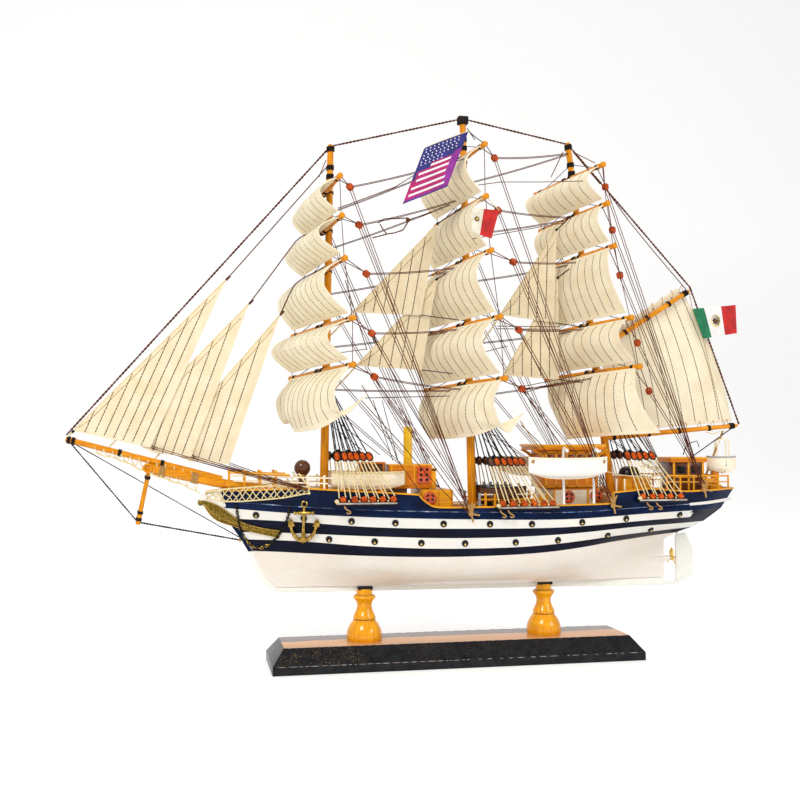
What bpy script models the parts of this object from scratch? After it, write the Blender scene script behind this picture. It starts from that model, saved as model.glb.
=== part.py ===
"""A wooden display model of a three-masted full-rigged sailing ship on its stand.

Frame: +X aft (the bow is at -X), +Y starboard, +Z up. The origin is the centre of the
plinth's underside. Sizes below are in millimetres and are written to Blender in metres.
"""
import math

import bmesh
import bpy
import numpy as np
from mathutils import Vector

MM = 0.001
GAP = 0.3           # clearance between pieces that touch on the real model

# Plinth and pedestals
PLINTH_BASE = (330.0, 76.0)
PLINTH_TOP = (309.5, 51.5)
PLINTH_BAND = 7.2
PLINTH_HEIGHT = 20.5
PEDESTAL_X = {"pedestal_fore": -82.0, "pedestal_aft": 83.0}
# turned profile of a pedestal: radius, height above the plinth
PEDESTAL_PROFILE = (
    (15.0, 0.0), (15.7, 4.5), (13.9, 10.5), (10.3, 16.5), (9.3, 18.0), (10.1, 19.5),
    (8.2, 23.0), (6.5, 27.5), (6.6, 31.5), (10.1, 36.5), (10.1, 38.3), (7.1, 40.0), (6.8, 47.2),
)
KEEL_SLOT_WIDTH = 3.8

# Hull
BOARD_HALF = 1.5    # half thickness of the keel and stem board
FLOOR_Z = 68.0
RAIL_WIDTH = 2.2
# hull heights at stations s from stem to stern post, bottom up:
# s, low bilge, turn of bilge, waterline, low stripe bottom and top, high stripe bottom and top
HULL_LEVELS = (
    (0.00, 78.0, 88.0, 100.0, 110.0, 116.5, 128.0, 137.0),
    (0.12, 77.0, 86.0, 98.0, 108.5, 115.5, 125.5, 133.0),
    (0.25, 76.0, 85.0, 96.3, 105.0, 113.5, 121.5, 130.0),
    (0.47, 76.0, 85.0, 95.0, 102.0, 111.0, 119.0, 127.0),
    (0.66, 76.0, 86.0, 97.0, 103.5, 112.5, 119.0, 126.0),
    (0.84, 79.0, 91.0, 103.5, 110.5, 118.0, 123.5, 130.0),
    (1.00, 86.0, 103.5, 109.5, 114.5, 120.0, 126.0, 132.5),
)
# hull half-breadths at the same stations and heights, with the flat floor and the rail:
# s, floor, low bilge, turn, waterline, stripe 1 bottom, top, stripe 2 bottom, top, rail
HULL_BREADTHS = (
    (0.00, 1.5, 1.6, 1.6, 1.7, 1.8, 1.9, 2.0, 2.2, 3.0),
    (0.05, 1.7, 2.4, 3.2, 4.2, 5.2, 6.0, 7.6, 9.0, 12.0),
    (0.12, 2.6, 5.4, 8.6, 11.6, 14.2, 15.6, 18.0, 19.8, 23.0),
    (0.22, 6.0, 13.5, 19.5, 24.0, 27.0, 28.4, 30.0, 31.2, 33.0),
    (0.34, 10.5, 23.0, 29.5, 33.0, 35.0, 36.0, 36.8, 37.2, 37.6),
    (0.50, 13.0, 27.5, 34.0, 37.0, 38.2, 38.8, 39.2, 39.3, 39.3),
    (0.64, 12.0, 25.0, 32.5, 36.2, 37.8, 38.5, 39.0, 39.2, 39.2),
    (0.78, 7.0, 14.5, 22.5, 29.5, 33.0, 35.0, 36.4, 37.0, 37.4),
    (0.88, 3.0, 5.4, 9.5, 16.5, 22.0, 26.5, 30.0, 32.0, 33.5),
    (0.95, 1.8, 2.2, 3.4, 6.5, 12.0, 17.5, 22.0, 25.0, 28.0),
    (1.00, 1.5, 1.6, 1.8, 2.4, 5.0, 8.0, 11.0, 13.5, 16.0),
)
# fore end of the hull and its after end: height, x
STEM_LINE = ((FLOOR_Z, -159.0), (78.0, -168.5), (88.0, -174.0), (100.0, -179.5), (112.0, -187.0),
             (122.0, -193.5), (132.0, -201.0), (145.0, -207.0), (156.0, -207.0))
STERN_LINE = ((FLOOR_Z, 200.0), (103.5, 200.0), (109.5, 213.0), (114.5, 227.0), (120.0, 237.0),
              (126.0, 244.0), (132.5, 252.0), (141.0, 268.0), (151.5, 264.0))
# rail height along the ship: x, rail, deck
RAIL_LINE = (
    (-210.0, 152.7, 149.0), (-190.0, 153.0, 149.0), (-139.0, 155.0, 150.5), (-60.0, 150.5, 147.0),
    (-40.0, 149.2, 146.5), (-36.0, 144.0, 133.2), (-28.0, 138.6, 133.2), (-20.0, 138.0, 133.0),
    (60.0, 138.2, 133.0), (129.0, 139.5, 133.6), (136.0, 149.5, 145.5), (171.0, 152.5, 148.0),
    (208.0, 149.5, 146.5), (270.0, 151.5, 147.5),
)
HULL_STATIONS = 25
BREAK_STATIONS = (-40.0, -36.0, -28.0, 129.0, 136.0)

# Keel board, rudder and propeller
BEAK_TIP = (-228.0, 145.0)
BOARD_EDGE = (  # outer edge of the board from the beak down and aft: x, z
    (-226.0, 140.5), (-212.0, 133.5), (-198.0, 122.0), (-189.5, 110.0), (-183.0, 99.0),
    (-174.5, 80.0), (-169.0, 70.5), (-158.0, 64.0), (-140.0, 63.2), (90.0, 62.0),
    (216.0, 60.5), (216.0, 63.7), (200.2, 64.6),
)
POST_X = 200.0
SHAFT_Z = 85.5
SHAFT_CONE = (132.0, 206.6, 2.8)        # fore tip, after end, radius there
PROP_X = (207.0, 210.6)                  # fore and after face of the hub
PROP_HUB_RADIUS = 2.3
PROP_RADIUS = 9.5
PROP_BLADES = 3
RUDDER_AXIS_X = 214.0
RUDDER_OUTLINE = (
    (212.3, 64.2), (218.5, 64.2), (229.5, 70.5), (229.5, 95.0), (222.0, 108.6), (212.3, 106.8),
)
RUDDER_HALF = 1.5
RUDDER_STOCK = (1.1, 109.4)              # radius, top

# Bowsprit: x, z of both ends and the radius of each spar
JIB_BOOM = ((-335.0, 196.0), (-206.0, 162.0), 2.6)
LOWER_BOWSPRIT = ((-271.0, 172.2), (-203.0, 157.6), 4.4)
STRIKER = ((-267.0, 170.0), (-276.0, 124.0), 2.0)
MARTINGALE_FOOT = (-190.4, 109.4)
STAY_RADIUS = 0.6

# Masts: foot and head as x, z, then the radius at the foot and the head
MASTS = {
    "fore": ((-118.1, 149.9), (-113.0, 450.0), 3.8, 2.8),
    "main": ((16.2, 133.4), (8.1, 482.0), 3.9, 2.8),
    "mizzen": ((149.0, 147.2), (109.6, 464.0), 3.7, 2.7),
}
YARD_RADIUS = (2.6, 1.9)                 # at the mast and at the ends
CAP_HEIGHT = 7.0                         # black caps on the mastheads
YARD_TILT = 3.0                          # degrees, port end up
YARD_SINK = 1.2                          # how far a yard is let into its mast
KNOB_RADIUS = 2.7
# yards of each mast from the top: height, half length, brace angle in degrees (port end aft)
YARDS = {
    "fore": ((414.0, 52.0, 7.0), (380.0, 54.0, 9.0), (344.0, 56.0, 12.0), (294.0, 58.0, 20.0),
             (255.0, 59.0, 20.5)),
    "main": ((448.0, 52.0, 11.0), (402.0, 54.0, 10.0), (355.0, 56.0, 13.0), (298.0, 58.0, 19.5),
             (245.0, 59.0, 22.5)),
    "mizzen": ((436.0, 52.0, 16.0), (401.0, 54.0, 14.0), (363.0, 56.0, 14.0), (300.0, 58.0, 22.0),
               (257.0, 58.0, 25.0)),
}
GAFF = ((133.5, 276.5), (229.0, 336.5), 2.4)
BOOM = ((144.0, 197.3), (277.0, 209.2), 2.4)

# Sails
SAIL_THICKNESS = 1.0
SAIL_HEAD_DROP = 1.0                     # head below the yard's axis
SAIL_FOOT_RISE = 5.0                     # foot above the next yard's axis
SAIL_INSET = 3.5                         # leech inside the yard's end
# depth of the belly of the four upper sails of each mast, from the top
SAIL_DEPTHS = {
    "fore": (17.0, 21.0, 22.0, 23.0),
    "main": (17.0, 14.0, 16.0, 19.0),
    "mizzen": (16.0, 10.0, 9.0, 16.0),
}
# course sails, from the yard down: aft of the yard, above the yard, at the middle and the clew
COURSES = {
    "fore": (((-3.0, -1.0), (-16.0, -14.0), (-20.0, -32.0), (-14.0, -52.0)),
             ((-3.0, -1.0), (-17.0, -22.0), (-8.0, -42.0), (14.0, -24.0))),
    "main": (((-3.0, -1.0), (-15.0, -14.0), (-18.0, -30.0), (-10.0, -48.0)),
             ((-3.0, -1.0), (-11.0, -22.0), (4.0, -46.0), (22.0, -29.0))),
    "mizzen": (((-3.0, -1.0), (-10.0, -18.0), (-9.0, -40.0), (-2.0, -59.0)),
               ((-3.0, -1.0), (-2.0, -20.0), (9.0, -38.0), (30.0, -58.0))),
}
SAIL_GRID = (8, 6)                       # cells across and down

# Jibs: head, tack, low point of the foot and clew as x, z, the top of the stay, and the y of the flat sail
JIBS = {
    "jib_outer": ((-204.0, 333.0), (-328.5, 203.0), (-290.0, 194.0), (-266.0, 189.0), (-120.5, 437.0), -1.8),
    "jib_middle": ((-184.0, 313.0), (-290.0, 200.0), (-265.0, 184.5), (-232.0, 181.0), (-158.0, 346.0), 0.0),
    "jib_inner": ((-157.0, 304.0), (-255.0, 188.0), (-234.0, 177.0), (-200.0, 174.5), (-154.5, 308.0), 1.8),
}
# Staysails: head, tack and clew, the mast that the stay starts from, and the y of the flat sail
STAYSAILS = {
    "staysail_main_upper": ((-16.0, 390.0), (-93.0, 308.0), (-31.0, 307.0), "fore", -1.2),
    "staysail_main_lower": ((-16.0, 340.0), (-89.0, 261.0), (-30.0, 258.0), "fore", 1.2),
    "staysail_mizzen_upper": ((97.0, 389.0), (43.0, 309.0), (94.0, 303.0), "main", -1.2),
    "staysail_mizzen_lower": ((99.0, 345.0), (46.0, 254.0), (99.0, 251.0), "main", 1.2),
}
SPANKER_Y = 3.7
SPANKER = (  # outline: x, z
    (140.0, 288.5), (182.0, 315.5), (219.0, 339.0), (226.5, 331.0), (251.0, 287.0),
    (264.0, 251.0), (273.0, 213.0), (150.0, 202.5),
)

# Channels: board ends in x, height and its outer edge; the shrouds' feet, and their top
CHANNELS = {
    "fore": ((-114.0, -60.0), 143.0, 43.5, (-107.0, -97.0, -89.0, -81.5, -73.0, -64.0), 246.0),
    "main": ((26.0, 83.0), 138.0, 45.6, (32.0, 41.0, 51.0, 60.0, 69.0, 77.0), 236.0),
    "mizzen": ((157.0, 204.0), 143.0, 44.0, (162.0, 171.0, 179.0, 188.0, 198.0), 248.0),
}
CHANNEL_THICKNESS = 3.0
DEADEYE_RADIUS = 3.0
UPPER_DEADEYE = 36.0                     # height of the upper row above the lower
SHROUD_RADIUS = 0.6
LANYARD_RADIUS = 1.0

# Deck fittings as boxes: x range, half width, z range, material
HOUSES = {
    "deckhouse_fore": ((-62.0, -24.0), 14.0, (152.7, 174.0), "house_orange"),
    "step_house": ((-35.0, -8.0), 26.0, (133.9, 152.2), "house_orange"),
    "galley_box": ((-88.0, -65.0), 8.5, (148.6, 176.0), "house_brown"),
    "midship_house": ((84.0, 128.0), 24.0, (134.0, 152.0), "cream_paint"),
    "stern_house": ((204.0, 236.0), 13.0, (147.3, 175.0), "house_orange"),
}
FUNNEL = (-43.0, 3.9, 207.0)             # on the fore deckhouse: x, radius, top
CABIN = ((78.0, 129.0), 19.0, (152.3, 186.4))
CABIN_ROOF = ((69.5, 134.0), 25.0, (186.0, 191.8))
POOP_HOUSE = ((155.0, 183.0), 13.0, (148.2, 162.0))
POOP_DOME = ((156.5, 178.0), 9.5, 171.0)
STERN_ROOF = ((202.0, 238.0), 15.0, (174.6, 179.5))
BALL = (-137.0, 171.0, 7.2)
# small boats: centre x, centre y, bottom z, length, breadth, depth, material
BOATS = {
    "longboat_port": (-82.0, -19.5, 151.8, 64.0, 15.0, 16.0, "cream_paint"),
    "longboat_starboard": (-82.0, 19.5, 151.8, 64.0, 15.0, 16.0, "cream_paint"),
    "waist_boat_port": (39.5, -20.0, 140.0, 42.0, 15.0, 14.0, "dark_wood"),
    "waist_boat_starboard": (39.5, 20.0, 140.0, 42.0, 15.0, 14.0, "dark_wood"),
    "boat_port": (90.0, -46.5, 162.0, 72.0, 17.0, 18.0, "white_gloss"),
    "boat_starboard": (90.0, 46.5, 162.0, 72.0, 17.0, 18.0, "white_gloss"),
    "stern_boat": (260.0, 0.0, 164.0, 30.0, 17.0, 16.0, "cream_paint"),
}
DAVIT_X = (89.0, 117.0)
DAVIT_TOP = 188.0

# Anchors against the hull's side: x and z of the ring, the stock's half length, the shank's foot
ANCHOR = (-138.0, 139.5, 8.5, 109.5)
ANCHOR_FLUKE = 2.6                       # radius of the fluke tips, which touch the hull

# Flags: corners as x, z
FLAG_MAIN_Y = -54.5
FLAG_MAIN = ((-40.0, 443.0), (-1.0, 460.0), (-20.0, 411.0), (-59.0, 394.0))
ENSIGN_Y = -1.4
ENSIGN = ((231.5, 319.0), (276.0, 324.0), (277.0, 297.0), (242.0, 291.0))

# colour, roughness, metallic
COLOURS = {
    "plinth_black": ((0.012, 0.012, 0.014), 0.4, 0.0),
    "pedestal_varnish": ((0.70, 0.32, 0.04), 0.15, 0.0),
    "hull_paint": ((0.82, 0.80, 0.76), 0.3, 0.0),
    "board_white": ((0.80, 0.76, 0.70), 0.4, 0.0),
    "brass": ((0.62, 0.40, 0.10), 0.3, 1.0),
    "spar_varnish": ((0.62, 0.27, 0.05), 0.3, 0.0),
    "sail_cloth": ((0.85, 0.74, 0.55), 0.8, 0.0),
    "rigging_black": ((0.02, 0.016, 0.014), 0.7, 0.0),
    "house_orange": ((0.60, 0.24, 0.05), 0.35, 0.0),
    "house_brown": ((0.28, 0.11, 0.04), 0.4, 0.0),
    "cream_paint": ((0.80, 0.72, 0.52), 0.4, 0.0),
    "white_gloss": ((0.86, 0.84, 0.80), 0.2, 0.0),
    "dark_wood": ((0.10, 0.04, 0.02), 0.5, 0.0),
    "flag_blue": ((0.09, 0.08, 0.32), 0.6, 0.0),
    "flag_green": ((0.02, 0.28, 0.12), 0.6, 0.0),
}


def clear_scene():
    for obj in list(bpy.data.objects):
        bpy.data.objects.remove(obj)


def material(name):
    known = bpy.data.materials.get(name)
    if known:
        return known
    colour, roughness, metallic = COLOURS[name]
    made = bpy.data.materials.new(name)
    made.use_nodes = True
    shader = made.node_tree.nodes["Principled BSDF"]
    shader.inputs["Base Color"].default_value = (*colour, 1.0)
    shader.inputs["Roughness"].default_value = roughness
    shader.inputs["Metallic"].default_value = metallic
    return made


def smooth_value(table, at, column):
    """Value of a column at a place in a table whose first column is the place, by a cubic."""
    places = [row[0] for row in table]
    values = [row[column] for row in table]
    at = min(max(at, places[0]), places[-1])
    i = min(max(int(np.searchsorted(places, at)) - 1, 0), len(places) - 2)
    slopes = np.gradient(values, places)
    span = places[i + 1] - places[i]
    t = (at - places[i]) / span
    return ((2 * t**3 - 3 * t**2 + 1) * values[i] + (t**3 - 2 * t**2 + t) * span * slopes[i]
            + (3 * t**2 - 2 * t**3) * values[i + 1] + (t**3 - t**2) * span * slopes[i + 1])


def line_value(table, at, column):
    return float(np.interp(at, [row[0] for row in table], [row[column] for row in table]))


def curve_through(points, t):
    """Point at t in 0..1 of a smooth curve through the points."""
    rows = [(i / (len(points) - 1), *point) for i, point in enumerate(points)]
    return [smooth_value(rows, t, column + 1) for column in range(len(points[0]))]


def shell(vertices, faces):
    """One closed body as a mesh, in metres, its faces pointing out."""
    bm = bmesh.new()
    made = [bm.verts.new(Vector(vertex) * MM) for vertex in vertices]
    for face in faces:
        bm.faces.new([made[i] for i in face])
    bmesh.ops.recalc_face_normals(bm, faces=bm.faces)
    mesh = bpy.data.meshes.new("shell")
    bm.to_mesh(mesh)
    bm.free()
    return mesh


def box(x, y, z):
    corners = [(i, j, k) for k in z for j in y for i in x]
    return shell(corners, ((0, 2, 3, 1), (4, 5, 7, 6), (0, 1, 5, 4), (2, 6, 7, 3), (0, 4, 6, 2), (1, 3, 7, 5)))


def rings_shell(rings, mirrored=False, level_top=0):
    """Closed body from rings of equal count; each end is one face, or strips across a mirrored ring.

    level_top is how many points on each side of a mirrored end's top lie in its last face.
    """
    count = len(rings[0])
    vertices = [vertex for ring in rings for vertex in ring]
    faces = []
    for first in (0, (len(rings) - 1) * count):
        if not mirrored:
            faces.append(tuple(range(first, first + count)))
            continue
        middle = first + count // 2
        faces.append((first, first + 1, first + 2, first + count - 2, first + count - 1))
        faces.append(tuple(range(middle - level_top, middle + level_top + 1)))
        for i in range(2, count // 2 - level_top):
            faces.append((first + i, first + i + 1, first + count - i - 1, first + count - i))
    for k in range(len(rings) - 1):
        for i in range(count):
            j = (i + 1) % count
            faces.append((k * count + i, k * count + j, (k + 1) * count + j, (k + 1) * count + i))
    return shell(vertices, faces)


def turned(start, end, profile, sides=12):
    """Body of revolution from start to end; the profile holds the share of the way and the radius."""
    start, end = Vector(start), Vector(end)
    axis = (end - start).normalized()
    side = axis.orthogonal().normalized()
    other = axis.cross(side)
    rings = []
    for share, radius in profile:
        centre = start.lerp(end, share)
        angles = [2 * math.pi * i / sides for i in range(sides)]
        rings.append([centre + side * radius * math.cos(a) + other * radius * math.sin(a) for a in angles])
    return rings_shell(rings)


def rod(start, end, radius, end_radius=None, sides=8):
    return turned(start, end, ((0.0, radius), (1.0, end_radius or radius)), sides)


def knob(centre, direction, radius, sides=6):
    centre, direction = Vector(centre), Vector(direction).normalized()
    profile = ((0.0, radius * 0.6), (0.35, radius), (0.65, radius), (1.0, radius * 0.6))
    return turned(centre - direction * radius, centre + direction * radius, profile, sides)


def plate(outline, y, half):
    """Flat plate in the ship's length: outline as x, z, from y - half to y + half."""
    return rings_shell([[(x, y - half, z) for x, z in outline], [(x, y + half, z) for x, z in outline]])


def joined(meshes):
    """Boolean union of closed meshes that overlap, as one mesh."""
    if len(meshes) == 1:
        return meshes[0]
    pile = bpy.data.collections.new("pile")
    bpy.context.scene.collection.children.link(pile)
    base = bpy.data.objects.new("base", meshes[0])
    bpy.context.scene.collection.objects.link(base)
    others = [bpy.data.objects.new("other", mesh) for mesh in meshes[1:]]
    for other in others:
        pile.objects.link(other)
    union = base.modifiers.new("union", "BOOLEAN")
    union.operation = "UNION"
    union.operand_type = "COLLECTION"
    union.collection = pile
    union.solver = "EXACT"
    graph = bpy.context.evaluated_depsgraph_get()
    result = bpy.data.meshes.new_from_object(base.evaluated_get(graph))
    for obj in [base, *others]:
        bpy.data.objects.remove(obj)
    bpy.data.collections.remove(pile)
    return result


def cut(mesh, cutter_mesh):
    base = bpy.data.objects.new("base", mesh)
    cutter = bpy.data.objects.new("cutter", cutter_mesh)
    for obj in (base, cutter):
        bpy.context.scene.collection.objects.link(obj)
    difference = base.modifiers.new("cut", "BOOLEAN")
    difference.operation = "DIFFERENCE"
    difference.object = cutter
    difference.solver = "EXACT"
    graph = bpy.context.evaluated_depsgraph_get()
    result = bpy.data.meshes.new_from_object(base.evaluated_get(graph))
    for obj in (base, cutter):
        bpy.data.objects.remove(obj)
    return result


def node(name, meshes, material_name, origin=(0.0, 0.0, 0.0), sharp_degrees=35.0):
    mesh = joined(meshes)
    mesh.name = name
    mesh.materials.clear()
    mesh.materials.append(material(material_name))
    mesh.shade_smooth()
    mesh.set_sharp_from_angle(angle=math.radians(sharp_degrees))
    obj = bpy.data.objects.new(name, mesh)
    bpy.context.scene.collection.objects.link(obj)
    if any(origin):
        place = Vector(origin) * MM
        for vertex in mesh.vertices:
            vertex.co -= place
        obj.location = place
    return obj


def mast_point(mast, z):
    (foot_x, foot_z), (head_x, head_z), foot_radius, head_radius = MASTS[mast]
    share = (z - foot_z) / (head_z - foot_z)
    return foot_x + (head_x - foot_x) * share, foot_radius + (head_radius - foot_radius) * share


def yard_axis(mast, number):
    """Centre and direction, port to starboard, of a yard, and its half length."""
    z, half, brace = YARDS[mast][number]
    x, radius = mast_point(mast, z)
    centre = Vector((x - radius - YARD_RADIUS[0] + YARD_SINK, 0.0, z))
    turn, tilt = math.radians(brace), math.radians(YARD_TILT)
    direction = Vector((-math.sin(turn) * math.cos(tilt), math.cos(turn) * math.cos(tilt), -math.sin(tilt)))
    return centre, direction, half


def forward_of(direction):
    return Vector((-direction.y, direction.x, 0.0)).normalized()


def yard_radius(share):
    """Radius of a yard at a share of its half length from the mast."""
    return YARD_RADIUS[0] + (YARD_RADIUS[1] - YARD_RADIUS[0]) * abs(share)


def make_plinth():
    def ring(size, z):
        x, y = size[0] / 2, size[1] / 2
        return [(-x, -y, z), (x, -y, z), (x, y, z), (-x, y, z)]
    rings = [ring(PLINTH_BASE, 0.0), ring(PLINTH_BASE, PLINTH_BAND), ring(PLINTH_TOP, PLINTH_HEIGHT)]
    node("plinth", [rings_shell(rings)], "plinth_black")


def keel_bottom(x):
    return line_value(sorted(BOARD_EDGE[7:11]), x, 1)


def make_pedestals():
    for name, x in PEDESTAL_X.items():
        foot = PLINTH_HEIGHT + GAP
        height = FLOOR_Z - GAP - foot
        top = PEDESTAL_PROFILE[-1][1]
        profile = [(z / top, radius) for radius, z in PEDESTAL_PROFILE]
        body = turned((x, 0.0, foot), (x, 0.0, foot + height), profile, 20)
        half = KEEL_SLOT_WIDTH / 2
        slot = box((x - 20.0, x + 20.0), (-half, half), (keel_bottom(x) - 2 * GAP, FLOOR_Z + 5.0))
        node(name, [cut(body, slot)], "pedestal_varnish")


def hull_section(s):
    """Half section at a station as (x, half-breadth, z) from the keel to the deck's middle."""
    rail_x = line_value(STEM_LINE, 150.0, 1) * (1 - s) + line_value(STERN_LINE, 150.0, 1) * s
    heights = [FLOOR_Z] + [smooth_value(HULL_LEVELS, s, i) for i in range(1, 8)]
    heights.append(line_value(RAIL_LINE, rail_x, 1))
    breadths = [smooth_value(HULL_BREADTHS, s, i) for i in range(1, 10)]
    rows = []
    for z, half in zip(heights, breadths):
        x = line_value(STEM_LINE, z, 1) * (1 - s) + line_value(STERN_LINE, z, 1) * s
        rows.append((x, half, z))
    deck = line_value(RAIL_LINE, rail_x, 2)
    x, half, rail = rows[-1]
    inner = max(half - RAIL_WIDTH, half * 0.4)
    if s < 0.02 or s > 0.985:
        deck = rail
    return [(rows[0][0], 0.0, FLOOR_Z)] + rows + [(x, inner, rail), (x, inner - 0.2 * inner / half, deck), (x, 0.0, deck)]


def hull_stations():
    even = [0.5 - 0.5 * math.cos(math.pi * i / (HULL_STATIONS - 1)) for i in range(HULL_STATIONS)]
    fore, aft = line_value(STEM_LINE, 150.0, 1), line_value(STERN_LINE, 150.0, 1)
    breaks = [(x - fore) / (aft - fore) for x in BREAK_STATIONS]
    kept = [s for s in even if min(abs(s - b) for b in breaks) > 0.012]
    return sorted(kept + breaks)


def make_hull():
    sections = [hull_section(s) for s in hull_stations()]
    rings = []
    for section in sections:
        port = [(x, -y, z) for x, y, z in section]
        starboard = [(x, y, z) for x, y, z in section[1:-1]]
        rings.append(port + starboard[::-1])
    tip, end, radius = SHAFT_CONE
    cone = turned((tip, 0.0, SHAFT_Z - 2.5), (end, 0.0, SHAFT_Z), ((0.0, 1.0), (1.0, radius)), 12)
    node("hull", [rings_shell(rings, mirrored=True, level_top=4), cone], "hull_paint")


def make_keel_board():
    inner = [(x - GAP, z) for x, half, z in hull_section(0.0)[2:9]]
    outline = [BEAK_TIP, *BOARD_EDGE, (POST_X - 0.6, FLOOR_Z - GAP), (STEM_LINE[0][1], FLOOR_Z - GAP), *inner]
    outline.append((-212.0, 150.5))
    node("keel_board", [plate(outline, 0.0, BOARD_HALF)], "board_white")


def make_rudder():
    blade = plate(RUDDER_OUTLINE, 0.0, RUDDER_HALF)
    radius, top = RUDDER_STOCK
    stock = rod((RUDDER_AXIS_X, 0.0, 100.0), (RUDDER_AXIS_X, 0.0, top), radius)
    node("rudder", [blade, stock], "board_white", origin=(RUDDER_AXIS_X, 0.0, 86.0))


def make_propeller():
    fore, aft = PROP_X
    hub = turned((fore, 0.0, SHAFT_Z), (aft, 0.0, SHAFT_Z), ((0.0, PROP_HUB_RADIUS), (0.6, PROP_HUB_RADIUS), (1.0, 1.0)), 12)
    blades = []
    for k in range(PROP_BLADES):
        turn = math.radians(90.0 + 360.0 * k / PROP_BLADES)
        out = Vector((0.0, math.cos(turn), math.sin(turn)))
        across = Vector((0.0, -math.sin(turn), math.cos(turn)))
        middle = Vector(((fore + aft) / 2 - 0.3, 0.0, SHAFT_Z))
        rings = []
        for share, half_chord, pitch in ((0.12, 1.6, 52.0), (0.5, 3.6, 38.0), (0.8, 3.6, 28.0), (1.0, 1.6, 24.0)):
            chord = (across * math.cos(math.radians(pitch)) + Vector((math.sin(math.radians(pitch)), 0.0, 0.0)))
            face = chord.cross(out).normalized()
            centre = middle + out * PROP_RADIUS * share
            chord = chord * half_chord * 0.62
            rings.append([centre - chord, centre + face * 0.45, centre + chord, centre - face * 0.45])
        blades.append(rings_shell(rings))
    node("propeller", [hub, *blades], "brass", origin=(fore, 0.0, SHAFT_Z))


def make_bowsprit():
    def spar(table, sides=12):
        (x0, z0), (x1, z1), radius = table
        return rod((x0, 0.0, z0), (x1, 0.0, z1), radius, sides=sides)
    tip, foot = JIB_BOOM[0], STRIKER[1]
    meshes = [spar(JIB_BOOM), spar(LOWER_BOWSPRIT), spar(STRIKER, 8)]
    meshes.append(rod((tip[0] + 2.0, 0.0, tip[1] - 1.0), (foot[0], 0.0, foot[1] + 2.0), STAY_RADIUS, sides=6))
    meshes.append(rod((foot[0], 0.0, foot[1] + 2.0), (MARTINGALE_FOOT[0], 0.0, MARTINGALE_FOOT[1]), STAY_RADIUS, sides=6))
    node("bowsprit", meshes, "spar_varnish")


def make_mast(mast):
    (foot_x, foot_z), (head_x, head_z), foot_radius, head_radius = MASTS[mast]
    meshes = [rod((foot_x, 0.0, foot_z), (head_x, 0.0, head_z), foot_radius, head_radius, 10)]
    for number in range(len(YARDS[mast])):
        centre, direction, half = yard_axis(mast, number)
        ends = centre - direction * half, centre + direction * half
        middle, tip = YARD_RADIUS
        meshes.append(turned(ends[0], ends[1], ((0.0, tip), (0.5, middle), (1.0, tip)), 8))
        meshes += [knob(end, direction, KNOB_RADIUS) for end in ends]
    if mast == "mizzen":
        for (x0, z0), (x1, z1), radius in (GAFF, BOOM):
            meshes.append(rod((x0, 0.0, z0), (x1, 0.0, z1), radius, sides=10))
    node("mast_" + mast, meshes, "spar_varnish")


def make_masthead_stays():
    """Black caps on the mastheads with the stays that run over them from bowsprit to boom."""
    meshes, tops = [], []
    for mast, ((foot_x, foot_z), (head_x, head_z), foot_radius, head_radius) in MASTS.items():
        start = Vector((head_x, 0.0, head_z + GAP))
        lean = Vector((head_x - foot_x, 0.0, head_z - foot_z)).normalized()
        meshes.append(rod(start, start + lean * CAP_HEIGHT, head_radius + 0.5, head_radius + 0.2, 10))
        tops.append(start + lean * CAP_HEIGHT * 0.75)
    boom_tip = Vector((JIB_BOOM[0][0] + 0.4, 0.0, JIB_BOOM[0][1] + JIB_BOOM[2] + 0.8))
    peak = Vector((GAFF[1][0] + 0.6, 0.0, GAFF[1][1] + GAFF[2] + 1.2))
    boom_end = Vector((BOOM[1][0] + 1.8, 0.0, BOOM[1][1] + 1.0))
    corner = Vector((GAFF[1][0] + 1.6, 0.0, GAFF[1][1] + 1.2))
    route = [boom_tip, *tops, peak, corner, boom_end]
    for start, end in zip(route, route[1:]):
        along = (end - start).normalized()
        meshes.append(rod(start - along * 0.3, end + along * 0.3, STAY_RADIUS, sides=6))
    node("masthead_stays", meshes, "rigging_black")


def sail_sheet(point):
    """Closed sheet of cloth from a function of (across -1..1, down 0..1)."""
    across, down = SAIL_GRID
    grid = [[point(2 * i / across - 1, j / down) for i in range(across + 1)] for j in range(down + 1)]
    fronts, backs = [], []
    for j in range(down + 1):
        for i in range(across + 1):
            along = grid[j][min(i + 1, across)] - grid[j][max(i - 1, 0)]
            drop = grid[min(j + 1, down)][i] - grid[max(j - 1, 0)][i]
            normal = along.cross(drop).normalized() * SAIL_THICKNESS / 2
            fronts.append(grid[j][i] + normal)
            backs.append(grid[j][i] - normal)
    row, total = across + 1, (across + 1) * (down + 1)
    faces = []
    for j in range(down):
        for i in range(across):
            a = j * row + i
            faces.append((a, a + 1, a + row + 1, a + row))
            faces.append((total + a, total + a + row, total + a + row + 1, total + a + 1))
    rim = [i for i in range(row)] + [j * row + across for j in range(1, down + 1)]
    rim += [down * row + i for i in range(across - 1, -1, -1)] + [j * row for j in range(down - 1, 0, -1)]
    for k, a in enumerate(rim):
        b = rim[(k + 1) % len(rim)]
        faces.append((a, total + a, total + b, b))
    return shell(fronts + backs, faces)


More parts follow.
